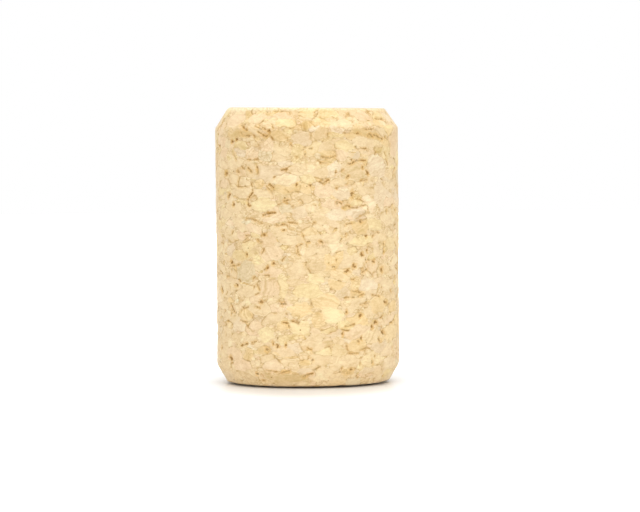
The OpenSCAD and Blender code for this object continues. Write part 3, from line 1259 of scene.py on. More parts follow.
@dataclass
class PartedSkin:
    """The net of triangles, cut along the borders between granules."""

    skin: TurnedSkin
    granulate: Granulate
    least_cut: float = 0.14
    least_slope: float = 0.4
    no_change: float = 1e-9
    points: np.ndarray = field(init=False)
    normals: np.ndarray = field(init=False)
    triangles: np.ndarray = field(init=False)
    owner: np.ndarray = field(init=False)
    pair: np.ndarray = field(init=False)
    gap: np.ndarray = field(init=False)
    meeting: np.ndarray = field(init=False)

    def build(self) -> None:
        """Labels the net's points, cuts the triangles that a border crosses and measures the gaps to it."""
        skin, granulate = self.skin, self.granulate
        bent = granulate.warped(skin.points)
        own, other, rise = granulate.nearest(bent)
        slope = granulate.granules.slope(bent, other) - granulate.granules.slope(bent, own)
        slope -= skin.normals * np.sum(slope * skin.normals, axis=1, keepdims=True)
        steep = np.maximum(np.linalg.norm(slope, axis=1), self.least_slope)
        edges = np.sort(np.vstack([skin.triangles[:, [i, (i + 1) % 3]] for i in range(3)]), axis=1)
        edges = np.unique(edges[own[edges[:, 0]] != own[edges[:, 1]]], axis=0)
        share = self.crossing(edges, bent, own)
        cut_index = {(int(a), int(b)): len(own) + k for k, (a, b) in enumerate(edges)}
        cut_points = self.between(skin.points, edges, share)
        cut_normals = self.between(skin.normals, edges, share)
        kept, owners, meetings = self.cut(own, cut_index)
        count = len(own) + len(edges)
        joint_points = [self.mean_of(cut_points, corner, len(own)) for corner in meetings]
        joint_normals = [self.mean_of(cut_normals, corner, len(own)) for corner in meetings]
        self.points = np.vstack([skin.points, cut_points, np.array(joint_points).reshape(-1, 3)])
        normals = np.vstack([skin.normals, cut_normals, np.array(joint_normals).reshape(-1, 3)])
        self.normals = normals / np.linalg.norm(normals, axis=1, keepdims=True)
        self.triangles = np.array(kept)
        self.owner = np.array(owners)
        cut_pair = np.column_stack([own[edges[:, 0]], own[edges[:, 1]]])
        joint_pair = np.array([cut_pair[corner[0] - len(own)] for corner in meetings]).reshape(-1, 2)
        self.pair = np.vstack([np.column_stack([own, other]), cut_pair, joint_pair])
        self.gap = np.concatenate([rise / steep, np.zeros(len(edges) + len(meetings))])
        self.meeting = np.arange(len(self.points)) >= count

    def crossing(self, edges: np.ndarray, bent: np.ndarray, own: np.ndarray) -> np.ndarray:
        """Finds where the border crosses each edge.

        Args:
            edges: Two points of each edge.
            bent: Warped places of the points.
            own: Granule of each point.

        Returns:
            Share of the way along each edge.
        """
        pair = np.column_stack([own[edges[:, 0]], own[edges[:, 1]]])
        first = self.granulate.granules.distance(bent[edges[:, 0]], pair)
        second = self.granulate.granules.distance(bent[edges[:, 1]], pair)
        before, after = first[:, 0] - first[:, 1], second[:, 0] - second[:, 1]
        change = before - after
        share = before / np.where(np.abs(change) < self.no_change, -1, change)
        return np.clip(share, self.least_cut, 1 - self.least_cut)

    @staticmethod
    def between(values: np.ndarray, edges: np.ndarray, share: np.ndarray) -> np.ndarray:
        """Blends the two ends of each edge by its share."""
        return values[edges[:, 0]] * (1 - share[:, None]) + values[edges[:, 1]] * share[:, None]

    @staticmethod
    def mean_of(values: np.ndarray, corner: Sequence[int], start: int) -> np.ndarray:
        """Averages the three cuts round a place where granules meet."""
        return np.mean([values[index - start] for index in corner], axis=0)

    def cut(
        self, own: np.ndarray, cut_index: dict[tuple[int, int], int]
    ) -> tuple[list[tuple[int, int, int]], list[int], list[tuple[int, int, int]]]:
        """Cuts each triangle into pieces that belong to one granule.

        Args:
            own: Granule of each of the net's points.
            cut_index: Index of the cut on each edge that has one.

        Returns:
            The triangles, the granule of each, and the three cuts round each meeting of three granules.
        """
        kept, owners = [], []
        meetings: list[tuple[int, int, int]] = []
        first_meeting = len(own) + len(cut_index)
        for corners in self.skin.triangles.tolist():
            labels = [int(own[c]) for c in corners]
            if labels[0] == labels[1] == labels[2]:
                kept.append(tuple(corners))
                owners.append(labels[0])
                continue
            sides = zip(corners, corners[1:] + corners[:1])
            cuts = [cut_index.get((min(a, b), max(a, b))) for a, b in sides]
            if None in cuts:
                lone = (cuts.index(None) + 2) % 3
                a, b, c = (corners[(lone + k) % 3] for k in range(3))
                leave, enter = cuts[lone], cuts[(lone + 2) % 3]
                kept += [(a, leave, enter), (leave, b, c), (leave, c, enter)]
                owners += [labels[lone], labels[(lone + 1) % 3], labels[(lone + 1) % 3]]
                continue
            middle = first_meeting + len(meetings)
            meetings.append(tuple(cuts))
            for k in range(3):
                kept += [(corners[k], cuts[k], middle), (corners[k], middle, cuts[(k + 2) % 3])]
                owners += [labels[k], labels[k]]
        return kept, owners, meetings


@dataclass
class CorkRelief:
    """Hollows and rises of the turned granules, along the surface's normal."""

    parted: PartedSkin
    marks: Marks
    cleft_share: float = 0.55
    cleft_ease: float = 0.6
    crumb_quiet: float = 0.6
    crumb_from_to: Span = (0.3, 0.55)
    cleft_patch: float = 1.2
    patch_from_to: Span = (-0.12, 0.3)
    patch_shift: float = 11.3
    quiet_share: float = 0.1
    quiet_from_to: Span = (3.0, 7.0)
    cleft_depth: float = 0.17
    cleft_width: float = 0.14
    seam_depth: float = 0.015
    seam_width: float = 0.22
    step_depth: float = 0.06
    step_width: float = 0.2
    groove_depth: float = 0.2
    groove_slope: float = 0.09
    foot_hollow: float = 0.2
    foot_rest_share: float = 0.12
    foot_rim: Span = (8.4, 9.2)
    foot_facing: Span = (0.3, 0.8)
    swell_size: float = 7.0
    swell_height: float = 0.05
    swell_shift: float = 3.1
    grit_size: float = 0.55
    grit_height: float = 0.014
    grit_level: float = 0.5
    grit_shift: float = 5.7
    meeting_share: float = 0.3
    # A darker band, with more clefts, just below the crown shoulder.
    shoulder_band_drop: float = 0.7
    shoulder_band_width: float = 0.85
    shoulder_band_cleft: float = 0.5
    shoulder_band_from_to: Span = (-0.35, 0.25)
    shoulder_band_shift: float = 7.9
    shoulder_band: np.ndarray = field(init=False)
    patch: np.ndarray = field(init=False)
    cleft: np.ndarray = field(init=False)
    height: np.ndarray = field(init=False)

    def build(self) -> None:
        """Works out how open each border is, and then how high each point stands."""
        self.open_borders()
        parted = self.parted
        granules = parted.granulate.granules
        first, second = parted.pair.T
        gap = parted.gap
        level = self.step_depth * granules.level
        border_level = (level[first] + level[second]) / 2
        height = -self.cleft_depth * self.cleft**2 * np.exp(-((gap / self.cleft_width) ** 2))
        height -= self.seam_depth * np.exp(-((gap / self.seam_width) ** 2))
        height -= border_level + (level[first] - border_level) * smoothstep(0, self.step_width, gap)
        mark = self.marks.nearest(parted.points)
        away = self.marks.distance(parted.points, mark) * self.marks.width[mark]
        groove = np.exp(-((away / (self.marks.width[mark] + self.groove_slope)) ** 2))
        height -= self.groove_depth * np.minimum(self.marks.strength[mark], 1) * groove
        height += self.swell_height * grain_noise(parted.points, self.swell_size, self.swell_shift)
        grit = grain_noise(parted.points, self.grit_size, self.grit_shift)
        height += self.grit_height * (grit - self.grit_level)
        hollow = smoothstep(0, self.foot_rest_share, chance(first, first, Draw.FOOT_REST))
        radius = np.hypot(parted.points[:, 0], parted.points[:, 1])
        hollow = np.maximum(hollow, smoothstep(*self.foot_rim, radius))
        height -= self.foot_hollow * hollow * smoothstep(*self.foot_facing, -parted.normals[:, 2])
        self.height = height

    def open_borders(self) -> None:
        """Works out the darker band just below the crown shoulder, and how open each border is."""
        parted = self.parted
        granules = parted.granulate.granules
        first, second = parted.pair.T
        open_share = chance(first, second, Draw.CLEFT)
        drawn = smoothstep(1 - self.cleft_share, 1.0, open_share) ** self.cleft_ease
        least = np.minimum(granules.reach[first], granules.reach[second])
        drawn *= 1 - self.crumb_quiet * (1 - smoothstep(*self.crumb_from_to, least))
        shoulder = parted.skin.profile.length - parted.skin.profile.crown_bevel_len
        below = (shoulder - self.shoulder_band_drop - parted.points[:, 2]) / self.shoulder_band_width
        uneven = grain_noise(parted.points, self.swell_size, self.shoulder_band_shift)
        self.shoulder_band = np.exp(-(below**2)) * smoothstep(*self.shoulder_band_from_to, uneven)
        cloud = grain_noise(parted.points, self.cleft_patch, self.patch_shift)
        patch = smoothstep(*self.patch_from_to, cloud)
        self.patch = np.maximum(patch, self.shoulder_band_cleft * self.shoulder_band)
        spot = parted.meeting & (chance(first, second, Draw.MEETING) < self.meeting_share)
        loud = 1 - self.quiet_share * smoothstep(*self.quiet_from_to, -parted.points[:, 1])
        self.cleft = np.where(spot, 1.0, drawn * self.patch) * loud


@dataclass(frozen=True)
class RimPaintedLight:
    """Ring of painted light round the rim of a flat end: a painted highlight at the crown, painted shade at
    the foot.

    Attributes:
        colour: Its colour.
        height: How far it reaches along the axis.
        width: How far it reaches in over the flat end.
        least: Share of it that shows where it is faint.
        most: Share of it that shows where it is strong.
        ragged_from_to: Values of the ragged noise at which it is faint and strong.
    """

    colour: str
    height: float
    width: float
    least: float
    most: float
    ragged_from_to: Span = (0.4, 0.6)


@dataclass
class PressedCork:
    """Agglomerated cork: granules glued under pressure, then turned and sanded.

    Sanding leaves each granule a matt, faintly clouded patch of its own shade. The eye reads growth rows in
    some granules, brown lenticels, and thin dark clefts where the glue left neighbours apart.
    """

    profile: TurnedProfile
    flatness: float = 1.8
    seed_spread: float = 57.0
    pattern_deviation: float = 0.11
    cloud_size: float = 1.5
    cloud_lightness: float = 3.0
    mottle_size: float = 0.6
    mottle_lightness: float = 3.5
    # Cork cells are about 0.04 mm, too fine to show, so they are drawn four times as coarse.
    cell_size: float = 0.17
    cell_lightness: float = 3.0
    row_size: float = 0.34
    row_bend_size: float = 1.1
    row_bend: float = 1.0
    row_lightness: float = 4.0
    row_share: float = 0.35
    lenticel_pitch: float = 0.95
    lenticel_reach: float = 0.15
    lenticel_share: float = 0.3
    lenticel_edge: float = 0.05
    crumb_size: float = 0.62
    crumb_bend_size: float = 0.9
    crumb_bend: float = 0.5
    crumb_lightness: float = 1.6
    hairline_width: float = 0.09
    hairline_patch: float = 1.4
    hairline_from_to: Span = (0.38, 0.58)
    hairline_least: float = 0.3
    hairline_share: float = 0.55
    # Painted shade on the lower granule beside a step between granules.
    painted_shade_width: float = 0.2
    painted_shade_share: float = 0.55
    # Painted highlight on the raised granule at such a step.
    painted_highlight_width: float = 0.24
    painted_highlight_share: float = 0.4
    stain_width: float = 0.5
    stain_share: float = 0.5
    cleft_width: float = 0.16
    break_size: float = 0.7
    break_from_to: Span = (0.36, 0.58)
    break_least: float = 0.35
    mark_ragged: float = 4.0
    mark_ragged_size: float = 0.24
    mark_taper: float = 0.7
    mark_stain: float = 0.5
    # Where each layer of a mark begins to fade and ends, in shares of half of its width from its spine.
    mark_stain_from_to: Span = (1.0, 4.0)
    mark_from_to: Span = (0.3, 1.6)
    hole_from_to: Span = (0.1, 1.1)
    # Strengths of a mark at which a hole begins to show in it and is fully dark.
    hole_strength: Span = (0.9, 1.75)
    ragged_size: float = 0.3
    shoulder_band_share: float = 0.22
    hairline_colour: str = "#C99F5C"
    # Colours of the painted shade and the painted highlight at steps between granules.
    painted_shade_colour: str = "#C99F5E"
    painted_highlight_colour: str = "#FFEFC8"
    stain_colour: str = "#E3B568"
    cleft_colour: str = "#B58C4E"
    mark_colour: str = "#B88F54"
    hole_colour: str = "#8A6535"
    shoulder_band_colour: str = "#D5AE72"
    lenticel_colour: str = "#B58B50"
    # Painted highlight: the crown's cut rim is drawn paler, where the light catches it.
    crown_painted_highlight: RimPaintedLight = RimPaintedLight(colour="#FFF6D2", height=0.55, width=0.6, least=0.25, most=0.85)
    # Painted shade: the foot's rim is drawn dark brown, where the contact shadow falls under it.
    foot_rim: RimPaintedLight = RimPaintedLight(colour="#6E4A22", height=0.5, width=1.2, least=0.6, most=0.9)
    roughness: float = 0.86
    specular: float = 0.25
    fuzz: float = 0.3
    fuzz_roughness: float = 0.25
    bump_height: float = 0.05
    bump_strength: float = 0.6
    add: AddNode = field(init=False)
    place: Socket = field(init=False)
    ragged: Socket = field(init=False)

    def build(self) -> bpy.types.Material:
        """Makes the material from the granules' own attributes and fine noise.

        Returns:
            The material.
        """
        material = bpy.data.materials.new("agglomerated_cork_sanded")
        material.use_nodes = True
        material.node_tree.nodes.clear()
        self.add = partial(add_node, material.node_tree)
        self.place = self.add("TexCoord", out="Object")
        worn = {"Vector": self.place, "Scale": per_metre(self.ragged_size), "Detail": 2.0}
        self.ragged = self.add("TexNoise", worn)
        tone, seed, fine, shoulder_band = (
            self.add("Attribute", out="Fac", attribute_name=name)
            for name in ("granule_tone", "granule_seed", "granule_fine", "shoulder_band")
        )
        cast, axis = (
            self.add("Attribute", out="Vector", attribute_name=name)
            for name in ("granule_cast", "granule_axis")
        )
        pressed = self.add("VectorMath", {0: self.place, 1: (1.0, 1.0, self.flatness)}, operation="MULTIPLY")
        many = self.add("Math", {0: seed, 1: self.seed_spread}, operation="MULTIPLY")

        rows = self.growth_rows(axis, many, seed)
        shade = tone
        for size, swing in (
            (self.cloud_size, self.cloud_lightness),
            (self.mottle_size, self.mottle_lightness),
            (self.cell_size, self.cell_lightness),
        ):
            scaled = {"Vector": pressed, "W": many, "Scale": per_metre(size), "Detail": 1.0}
            cells = self.add("TexNoise", scaled, noise_dimensions="4D")
            shade = self.shifted(shade, cells, swing)
        shade = self.shifted(shade, rows, self.row_lightness)
        crumb_tone, crumb_gap = self.crumbs(pressed, fine)
        shade = self.shifted(shade, crumb_tone, self.crumb_lightness)
        colour = self.add("VectorMath", {0: self.ramp(shade), 1: cast}, operation="MULTIPLY")

        # Darker colour in the band just below the crown shoulder.
        shoulder_darkening = self.add("Math", {0: shoulder_band, 1: self.ragged}, operation="MULTIPLY")
        shoulder_darkening = self.add("Math", {0: shoulder_darkening, 1: 2 * self.shoulder_band_share}, operation="MULTIPLY")
        colour = self.mixed(shoulder_darkening, colour, self.shoulder_band_colour)
        colour = self.edged(colour, crumb_gap, fine)
        specks = self.lenticels()
        colour = self.mixed(specks, colour, self.lenticel_colour)
        # Marks, then a painted highlight round the crown's rim and painted contact shade round the foot's
        # rim.
        colour = self.worn(colour)

        raised = self.add("Math", {0: cells, 1: rows}, operation="ADD")
        pored = self.add("Math", {0: raised, 1: specks}, operation="SUBTRACT")
        bump = {"Height": pored, "Strength": self.bump_strength, "Distance": self.bump_height * MM}
        shader = self.add(
            "BsdfPrincipled",
            {
                "Base Color": colour,
                "Roughness": self.roughness,
                "Specular IOR Level": self.specular,
                "Sheen Weight": self.fuzz,
                "Sheen Roughness": self.fuzz_roughness,
                "Normal": self.add("Bump", bump),
            },
        )
        self.add("OutputMaterial", {"Surface": shader})
        return material

    def edged(self, colour: Socket, crumb_gap: Socket, fine: Socket) -> Socket:
        """Lays hairlines, painted highlight and painted shade at granule steps, stains and clefts along the
        borders over a colour.

        Args:
            colour: The colour below.
            crumb_gap: Distance to the crumbs' edges, in millimetres.
            fine: Share that is 1 on small granules and 0 on large ones.

        Returns:
            The new colour.
        """
        step_light, gap, cleft = (
            self.add("Attribute", out="Fac", attribute_name=name) for name in ("step_light", "border_gap", "cleft")
        )
        patchy, parting = self.patches(fine), self.broken(cleft)
        raised_highlight = self.add("Math", {0: step_light, 1: -1.0}, operation="MULTIPLY")
        for edge, width, share, strength, tinted in (
            (crumb_gap, self.hairline_width, self.hairline_share, patchy, self.hairline_colour),
            # Painted highlight on the raised side of a step between granules, then painted shade on the lower
            # side.
            (gap, self.painted_highlight_width, self.painted_highlight_share, raised_highlight, self.painted_highlight_colour),
            (gap, self.painted_shade_width, self.painted_shade_share, step_light, self.painted_shade_colour),
            (gap, self.stain_width, self.stain_share, parting, self.stain_colour),
            (gap, self.cleft_width, 1.0, parting, self.cleft_colour),
        ):
            part = self.add("Math", {0: self.border_share(edge, width), 1: strength}, operation="MULTIPLY")
            part = self.add("Math", {0: part, 1: share}, operation="MULTIPLY")
            colour = self.mixed(part, colour, tinted)
        return colour

    def worn(self, colour: Socket) -> Socket:
        """Lays the marks over a colour, then the painted highlight round the crown's rim and the painted
        shade round the foot's rim.
        """
        layers = (self.stain_colour, self.mark_colour, self.hole_colour)
        for part, tinted in zip(self.mark_shares(), layers):
            colour = self.mixed(part, colour, tinted)
        for rim_paint, inset, height in (
            (self.crown_painted_highlight, self.profile.crown_bevel_inset, self.profile.length),
            (self.foot_rim, self.profile.foot_bevel_inset, 0.0),
        ):
            ring = self.rim_ring(rim_paint, self.profile.wall_r - inset, height)
            colour = self.mixed(ring, colour, rim_paint.colour)
        return colour

    def ramp(self, shade: Socket) -> Socket:
        """Turns a place on the ramp of cork shades into its colour."""
        colour = self.add("ValToRGB", {"Fac": shade})
        elements = colour.node.color_ramp.elements
        while len(elements) < len(CorkShade):
            elements.new(0.5)
        for element, step in zip(elements, CorkShade):
            element.position = CorkShade.place(step.lightness)
            element.color = linear(step.colour)
        return colour

    def rim_ring(self, rim_paint: RimPaintedLight, rim_radius: float, rim_height: float) -> Socket:
        """Makes the ring of painted light that shows in places round a flat end's rim.

        Args:
            rim_paint: Size and strength of the ring.
            rim_radius: Radius of the rim, in millimetres.
            rim_height: Its height, in millimetres.

        Returns:
            A share that is greatest at the rim and 0 on the wall and near the axis.
        """
        height = self.add("SeparateXYZ", {"Vector": self.place}, out="Z")
        flat = self.add("VectorMath", {0: self.place, 1: (1.0, 1.0, 0.0)}, operation="MULTIPLY")
        radius = self.add("VectorMath", {0: flat}, out="Value", operation="LENGTH")
        rises = [
            self.add(
                "MapRange",
                {"Value": value, "From Min": low, "From Max": high, "To Min": least, "To Max": most},
                interpolation_type="SMOOTHSTEP",
            )
            for value, low, high, least, most in (
                (height, abs(rim_height - rim_paint.height) * MM, rim_height * MM, 0.0, 1.0),
                (radius, (rim_radius - rim_paint.width) * MM, rim_radius * MM, 0.0, 1.0),
                (self.ragged, *rim_paint.ragged_from_to, rim_paint.least, rim_paint.most),
            )
        ]
        ring = self.add("Math", {0: rises[0], 1: rises[1]}, operation="MULTIPLY")
        return self.add("Math", {0: ring, 1: rises[2]}, operation="MULTIPLY")

    def shifted(self, shade: Socket, pattern: Socket, swing: float) -> Socket:
        """Moves a shade up and down the ramp by a noise pattern round 0.5.

        Args:
            shade: Place on the ramp.
            pattern: Pattern that moves it.
            swing: How much lightness the pattern adds and takes, as a usual deviation.

        Returns:
            The moved place on the ramp.
        """
        gain = swing / self.pattern_deviation / (CorkShade.PALE.lightness - CorkShade.RUST.lightness)
        moved = self.add("Math", {0: pattern, 1: gain, 2: -0.5 * gain}, operation="MULTIPLY_ADD")
        return self.add("Math", {0: shade, 1: moved}, operation="ADD")

    def mixed(self, share: Socket, under: Socket, hex_colour: str) -> Socket:
        """Lays a colour over another by a share.

        Args:
            share: How much of the new colour shows.
            under: The colour below.
            hex_colour: The new colour.

        Returns:
            The mixed colour.
        """
        layers = {"Fac": share, "Color1": under, "Color2": linear(hex_colour)}
        return self.add("MixRGB", layers, use_clamp=True)

    def border_share(self, gap: Socket, width: float) -> Socket:
        """Makes a band of uneven width along the granules' borders.

        Args:
            gap: Distance to the nearest border, in millimetres.
            width: Distance from the border at which the band ends.

        Returns:
            A share that is 1 at the border and 0 beyond the band.
        """
        worn = self.add("Math", {0: self.ragged, 1: width, 2: -0.5 * width}, operation="MULTIPLY_ADD")
        reach = self.add("Math", {0: gap, 1: worn}, operation="ADD")
        fade = {"Value": reach, "From Max": width, "To Min": 1.0, "To Max": 0.0}
        return self.add("MapRange", fade, interpolation_type="SMOOTHSTEP")

    def crumbs(self, pressed: Socket, fine: Socket) -> tuple[Socket, Socket]:
        """Breaks the small granules up into crumbs that are too fine for the mesh.

        Args:
            pressed: Place on the stopper, stretched along its axis.
            fine: Share that is 1 on small granules and 0 on large ones.

        Returns:
            A pattern round 0.5 that differs from crumb to crumb, and the distance to the crumbs' edges in
            millimetres.
        """
        waves = {"Vector": pressed, "Scale": per_metre(self.crumb_bend_size), "Detail": 1.0}
        bend = self.add("TexNoise", waves, out="Color")
        amount = (self.crumb_bend * MM,) * 3
        bent = self.add("VectorMath", {0: bend, 1: amount, 2: pressed}, operation="MULTIPLY_ADD")
        scaled = {"Vector": bent, "Scale": per_metre(self.crumb_size)}
        draw = self.add("SeparateColor", {"Color": self.add("TexVoronoi", scaled, out="Color")})
        tone = self.add("MapRange", {"Value": fine, "To Min": 0.5, "To Max": draw})
        edge = self.add("TexVoronoi", scaled, out="Distance", feature="DISTANCE_TO_EDGE")
        return tone, self.add("Math", {0: edge, 1: self.crumb_size}, operation="MULTIPLY")

    def clouds(self, size: float, from_to: Span, least: float = 0.0) -> Socket:
        """Makes soft clouds of noise.

        Args:
            size: Size of the clouds, in millimetres.
            from_to: Values of the noise at which a cloud begins and is full.
            least: Share between the clouds.

        Returns:
            A share that is 1 inside a cloud.
        """
        haze = self.add("TexNoise", {"Vector": self.place, "Scale": per_metre(size), "Detail": 1.0})
        low, high = from_to
        edge = {"Value": haze, "From Min": low, "From Max": high, "To Min": least}
        return self.add("MapRange", edge, interpolation_type="SMOOTHSTEP")

    def patches(self, fine: Socket) -> Socket:
        """Makes the patches in which the crumbs' edges show, mostly between the large granules.

        Args:
            fine: Share that is 1 on small granules and 0 on large ones.

        Returns:
            A share that is 1 where the edges show.
        """
        shown = self.clouds(self.hairline_patch, self.hairline_from_to)
        weight = self.add("MapRange", {"Value": fine, "To Min": self.hairline_least})
        return self.add("Math", {0: shown, 1: weight}, operation="MULTIPLY")

    def broken(self, strength: Socket) -> Socket:
        """Breaks dark lines up, so that each is strong in some stretches and faint in others.

        Args:
            strength: How dark the line is where it is whole.

        Returns:
            How dark the line is at each place.
        """
        whole = self.clouds(self.break_size, self.break_from_to, self.break_least)
        return self.add("Math", {0: strength, 1: whole}, operation="MULTIPLY")

    def mark_shares(self) -> list[Socket]:
        """Draws the nearest mark, with a stain round it and a dark hole inside it if it is a deep one.

        Returns:
            The shares of the stain, the mark and the hole.
        """
        centre, along, over = (
            self.add("Attribute", out="Vector", attribute_name=name)
            for name in ("mark_centre", "mark_along", "mark_over")
        )
        reach, strength = (
            self.add("Attribute", out="Fac", attribute_name=name) for name in ("mark_reach", "mark_strength")
        )
        offset = self.add("VectorMath", {0: self.place, 1: centre}, operation="SUBTRACT")
        ahead, aside = (
            self.add("VectorMath", {0: offset, 1: way}, out="Value", operation="DOT_PRODUCT")
            for way in (along, over)
        )
        length = self.add("Math", {0: ahead}, operation="ABSOLUTE")
        beyond = self.add("Math", {0: length, 1: reach}, operation="SUBTRACT")
        beyond = self.add("Math", {0: beyond, 1: 0.0}, operation="MAXIMUM")
        both = self.add("CombineXYZ", {"X": beyond, "Y": aside})
        away = self.add("VectorMath", {0: both}, out="Value", operation="LENGTH")
        bites = {"Vector": self.place, "Scale": per_metre(self.mark_ragged_size), "Detail": 2.0}
        worn = self.add(
            "Math",
            {0: self.add("TexNoise", bites), 1: self.mark_ragged, 2: -0.5 * self.mark_ragged},
            operation="MULTIPLY_ADD",
        )
        # The mark thins out towards its ends.
        span = self.add("Math", {0: reach, 1: 1.0}, operation="ADD")
        outward = self.add("Math", {0: length, 1: span}, operation="DIVIDE")
        thin = self.add("Math", {0: outward, 1: 2.0}, operation="POWER")
        edge = self.add("Math", {0: thin, 1: self.mark_taper, 2: away}, operation="MULTIPLY_ADD")
        edge = self.add("Math", {0: edge, 1: worn}, operation="ADD")
        shown, full = self.hole_strength
        hole = self.add("MapRange", {"Value": strength, "From Min": shown, "From Max": full})
        strength = self.broken(strength)
        shares = []
        for (start, end), most, part in (
            (self.mark_stain_from_to, self.mark_stain, strength),
            (self.mark_from_to, 1.0, strength),
            (self.hole_from_to, 1.0, hole),
        ):
            fade = {"Value": edge, "From Min": start, "From Max": end, "To Min": most, "To Max": 0.0}
            band = self.add("MapRange", fade, interpolation_type="SMOOTHSTEP")
            shares.append(self.add("Math", {0: band, 1: part}, operation="MULTIPLY"))
        return shares

    def growth_rows(self, axis: Socket, many: Socket, seed: Socket) -> Socket:
        """Makes the bent rows of cells that the bark grew in, across the axis of some granules.

        Args:
            axis: Direction in which the granule's bark grew.
            many: Number that differs from granule to granule.
            seed: Share that picks the granules that show rows.

        Returns:
            A pattern from 0 to 1, and an even 0.5 on granules without rows.
        """
        along = self.add("VectorMath", {0: self.place, 1: axis}, out="Value", operation="DOT_PRODUCT")
        waves = {"Vector": self.place, "Scale": per_metre(self.row_bend_size), "Detail": 1.0}
        bend = self.add("TexNoise", waves)
        bent = self.add("Math", {0: bend, 1: self.row_bend * MM, 2: along}, operation="MULTIPLY_ADD")
        count = self.add("Math", {0: bent, 1: per_metre(self.row_size), 2: many}, operation="MULTIPLY_ADD")
        rows = self.add("TexNoise", {"W": count, "Scale": 1.0, "Detail": 1.0}, noise_dimensions="1D")
        picked = self.add("Math", {0: seed, 1: self.row_share}, operation="LESS_THAN")
        return self.add("MapRange", {"Value": picked, "To Min": 0.5, "To Max": rows})

    def lenticels(self) -> Socket:
        """Makes the brown pores that run through bark.

        Returns:
            A share that is 1 inside a pore.
        """
        spots = {"Vector": self.place, "Scale": per_metre(self.lenticel_pitch)}
        away = self.add("TexVoronoi", spots, out="Distance")
        draw = self.add("SeparateColor", {"Color": away.node.outputs["Color"]})
        picked = {"Value": draw, "From Min": 1 - self.lenticel_share, "To Max": self.lenticel_reach}
        inside = self.add("Math", {0: self.add("MapRange", picked), 1: away}, operation="SUBTRACT")
        return self.add("MapRange", {"Value": inside, "From Max": self.lenticel_edge})


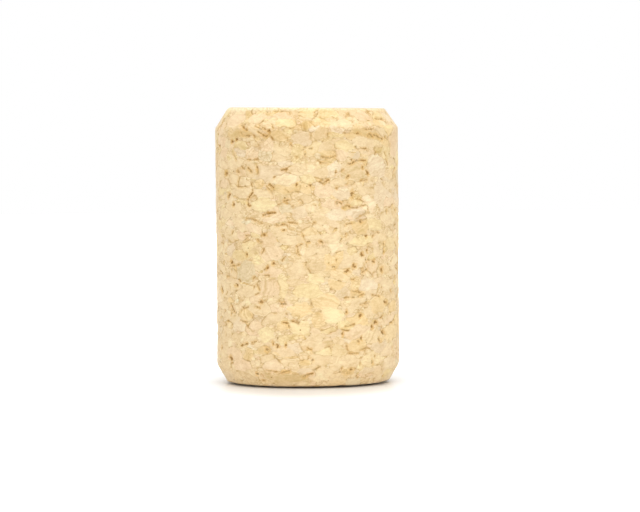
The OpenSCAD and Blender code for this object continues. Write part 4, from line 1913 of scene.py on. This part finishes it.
@dataclass
class CorkStopper:
    """The stopper itself: one pressed and turned block of granules."""

    viewpoint: Viewpoint
    coarse_from_to: Span = (0.45, 1.3)
    blend_width: float = 0.3
    # Least strength of the painted light at granule steps outside the cleft patches, and the step in level at
    # which it is full.
    step_light_least: float = 0.25
    lip_step: float = 0.4
    crown_skew: float = 0.012
    skew_from: float = 33.0
    bake_margin: float = 0.01
    piece: bpy.types.Object = field(init=False)

    def build(self) -> None:
        """Makes the mesh, dresses it and sets it in place of its CAD node."""
        low, high = (np.array(corner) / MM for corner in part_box(NODE))
        profile = TurnedProfile(wall_r=float(high[0] - low[0]) / 2, length=float(high[2] - low[2]))
        skin = TurnedSkin(profile)
        skin.build()
        LOG.info("net: %d points, %d triangles", len(skin.points), len(skin.triangles))
        granulate = Granulate(skin, self.viewpoint)
        granulate.build()
        LOG.info("granules: %s", [len(band) for band in granulate.bands])
        parted = PartedSkin(skin, granulate)
        parted.build()
        LOG.info("parted: %d points, %d triangles", len(parted.points), len(parted.triangles))
        marks = Marks(skin, self.viewpoint)
        marks.build()
        LOG.info("marks: %d", len(marks.centre))
        relief = CorkRelief(parted, marks)
        relief.build()
        self.piece = self.mesh_piece(parted, relief)
        self.unroll(parted, profile)
        self.piece.data.materials.append(PressedCork(profile).build())
        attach(self.piece, BODY)
        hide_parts(NODE)

    def mesh_piece(self, parted: PartedSkin, relief: CorkRelief) -> bpy.types.Object:
        """Makes the mesh object and writes the granules' attributes on it.

        Args:
            parted: The cut net.
            relief: Its relief.

        Returns:
            The new object.
        """
        places = parted.points + parted.normals * relief.height[:, None]
        above = smoothstep(self.skew_from, float(parted.points[:, 2].max()), parted.points[:, 2])
        places[:, 2] -= self.crown_skew * places[:, 0] * above
        places[:, 2] = np.maximum(places[:, 2], 0)
        mesh = bpy.data.meshes.new("cork_granulate")
        mesh.from_pydata((places * MM).tolist(), [], parted.triangles.tolist())
        mesh.polygons.foreach_set("use_smooth", np.ones(len(parted.triangles), bool))
        granules = parted.granulate.granules
        owner = parted.owner
        every = np.arange(len(granules.tone))
        growth_draws = (Draw.GROWTH_X, Draw.GROWTH_Y, Draw.GROWTH_Z)
        growth = np.column_stack([chance(every, every, draw) - 0.5 for draw in growth_draws])
        growth /= np.linalg.norm(growth, axis=1, keepdims=True)
        own, other = self.neighbours(parted)
        blend = 0.5 * (1 - smoothstep(0, self.blend_width, parted.gap[parted.triangles].ravel()))
        # Signed painted light at each step between granules: painted shade on the lower side, a painted
        # highlight on the raised side, fuller in the cleft patches.
        shade = self.step_light_least + (1 - self.step_light_least) * relief.patch[parted.triangles].ravel()
        step = granules.level[own] - granules.level[other]
        step_light = 2 * smoothstep(-self.lip_step, self.lip_step, step) - 1
        marks = relief.marks
        mark = marks.nearest(parted.points[parted.triangles].mean(axis=1))
        for name, domain, values in (
            ("granule_tone", "CORNER", granules.tone[own] * (1 - blend) + granules.tone[other] * blend),
            ("granule_cast", "FACE", granules.cast[owner]),
            ("granule_seed", "FACE", chance(every, every, Draw.GRANULE)[owner]),
            ("granule_axis", "FACE", growth[owner]),
            ("granule_fine", "FACE", 1 - smoothstep(*self.coarse_from_to, granules.reach[owner])),
            ("mark_centre", "FACE", marks.centre[mark] * MM),
            ("mark_along", "FACE", marks.along[mark] / MM),
            ("mark_over", "FACE", marks.over[mark] / MM),
            ("mark_reach", "FACE", marks.reach[mark]),
            ("mark_strength", "FACE", marks.strength[mark]),
            ("step_light", "CORNER", step_light * shade),
            ("border_gap", "POINT", parted.gap),
            ("cleft", "POINT", relief.cleft),
            ("shoulder_band", "POINT", relief.shoulder_band),
        ):
            self.write(mesh, name, domain, values)
        mesh.update()
        piece = bpy.data.objects.new("cork_granulate", mesh)
        bpy.context.scene.collection.objects.link(piece)
        return piece

    @staticmethod
    def neighbours(parted: PartedSkin) -> tuple[np.ndarray, np.ndarray]:
        """Finds the granule that each triangle corner belongs to, and the one across the nearest border.

        Args:
            parted: The cut net.

        Returns:
            The two granules of each corner, in the order of the triangles.
        """
        pair = parted.pair[parted.triangles]
        own = np.broadcast_to(parted.owner[:, None], pair.shape[:2])
        other = np.where(pair[:, :, 0] == own, pair[:, :, 1], pair[:, :, 0])
        return own.ravel(), other.ravel()

    @staticmethod
    def write(mesh: bpy.types.Mesh, name: str, domain: str, values: np.ndarray) -> None:
        """Writes an attribute on a mesh.

        Args:
            mesh: Mesh that takes it.
            name: Name of the attribute.
            domain: FACE, CORNER or POINT.
            values: One value, or one vector, for each of them.
        """
        kind, slot = ("FLOAT_VECTOR", "vector") if values.ndim == 2 else ("FLOAT", "value")
        attribute = mesh.attributes.new(name, kind, domain)
        attribute.data.foreach_set(slot, values.astype(np.float32).ravel())

    def unroll(self, parted: PartedSkin, profile: TurnedProfile) -> None:
        """Lays the wall out as a strip and the two ends as discs, for baking.

        Args:
            parted: The cut net.
            profile: The turned section.
        """
        margin = self.bake_margin
        corners = parted.points[parted.triangles]
        facing = parted.normals[parted.triangles].mean(axis=1)
        middle = corners.mean(axis=1)
        turn = np.arctan2(corners[:, :, 0], -corners[:, :, 1])
        home = np.arctan2(middle[:, 0], -middle[:, 1])[:, None]
        turn = home + (turn - home + math.pi) % (2 * math.pi) - math.pi
        strip_scale = (1 - 2 * margin) / (2 * math.pi * profile.wall_r)
        flat = np.abs(facing[:, 2]) > FLAT_FACING
        uv = np.empty((len(corners), 3, 2))
        uv[:, :, 0] = 0.5 + turn * profile.wall_r * strip_scale
        uv[:, :, 1] = margin + corners[:, :, 2] * strip_scale
        disc_top = 1 - margin
        disc_low = 3 * margin + profile.length * strip_scale
        disc_half = (disc_top - disc_low) / 2
        disc_scale = disc_half / profile.wall_r
        for side, centre_u in ((-1, margin + disc_half), (1, 1 - margin - disc_half)):
            faces = flat & (facing[:, 2] * side > 0)
            uv[faces, :, 0] = centre_u + corners[faces][:, :, 0] * disc_scale
            uv[faces, :, 1] = (disc_top + disc_low) / 2 + side * corners[faces][:, :, 1] * disc_scale
        layer = self.piece.data.uv_layers.new(name="OFBake")
        layer.data.foreach_set("uv", uv.astype(np.float32).ravel())


def main() -> None:
    """Builds the camera, the studio and the stopper in order."""
    logging.basicConfig(level=logging.INFO, format="%(name)s: %(message)s")
    noise.seed_set(NOISE_SEED)
    viewpoint = Viewpoint()
    viewpoint.build()
    Studio().build()
    stopper = CorkStopper(viewpoint)
    stopper.build()
    LOG.info("piece %s has %d faces", stopper.piece.name, len(stopper.piece.data.polygons))


if __name__ == "__main__":
    main()
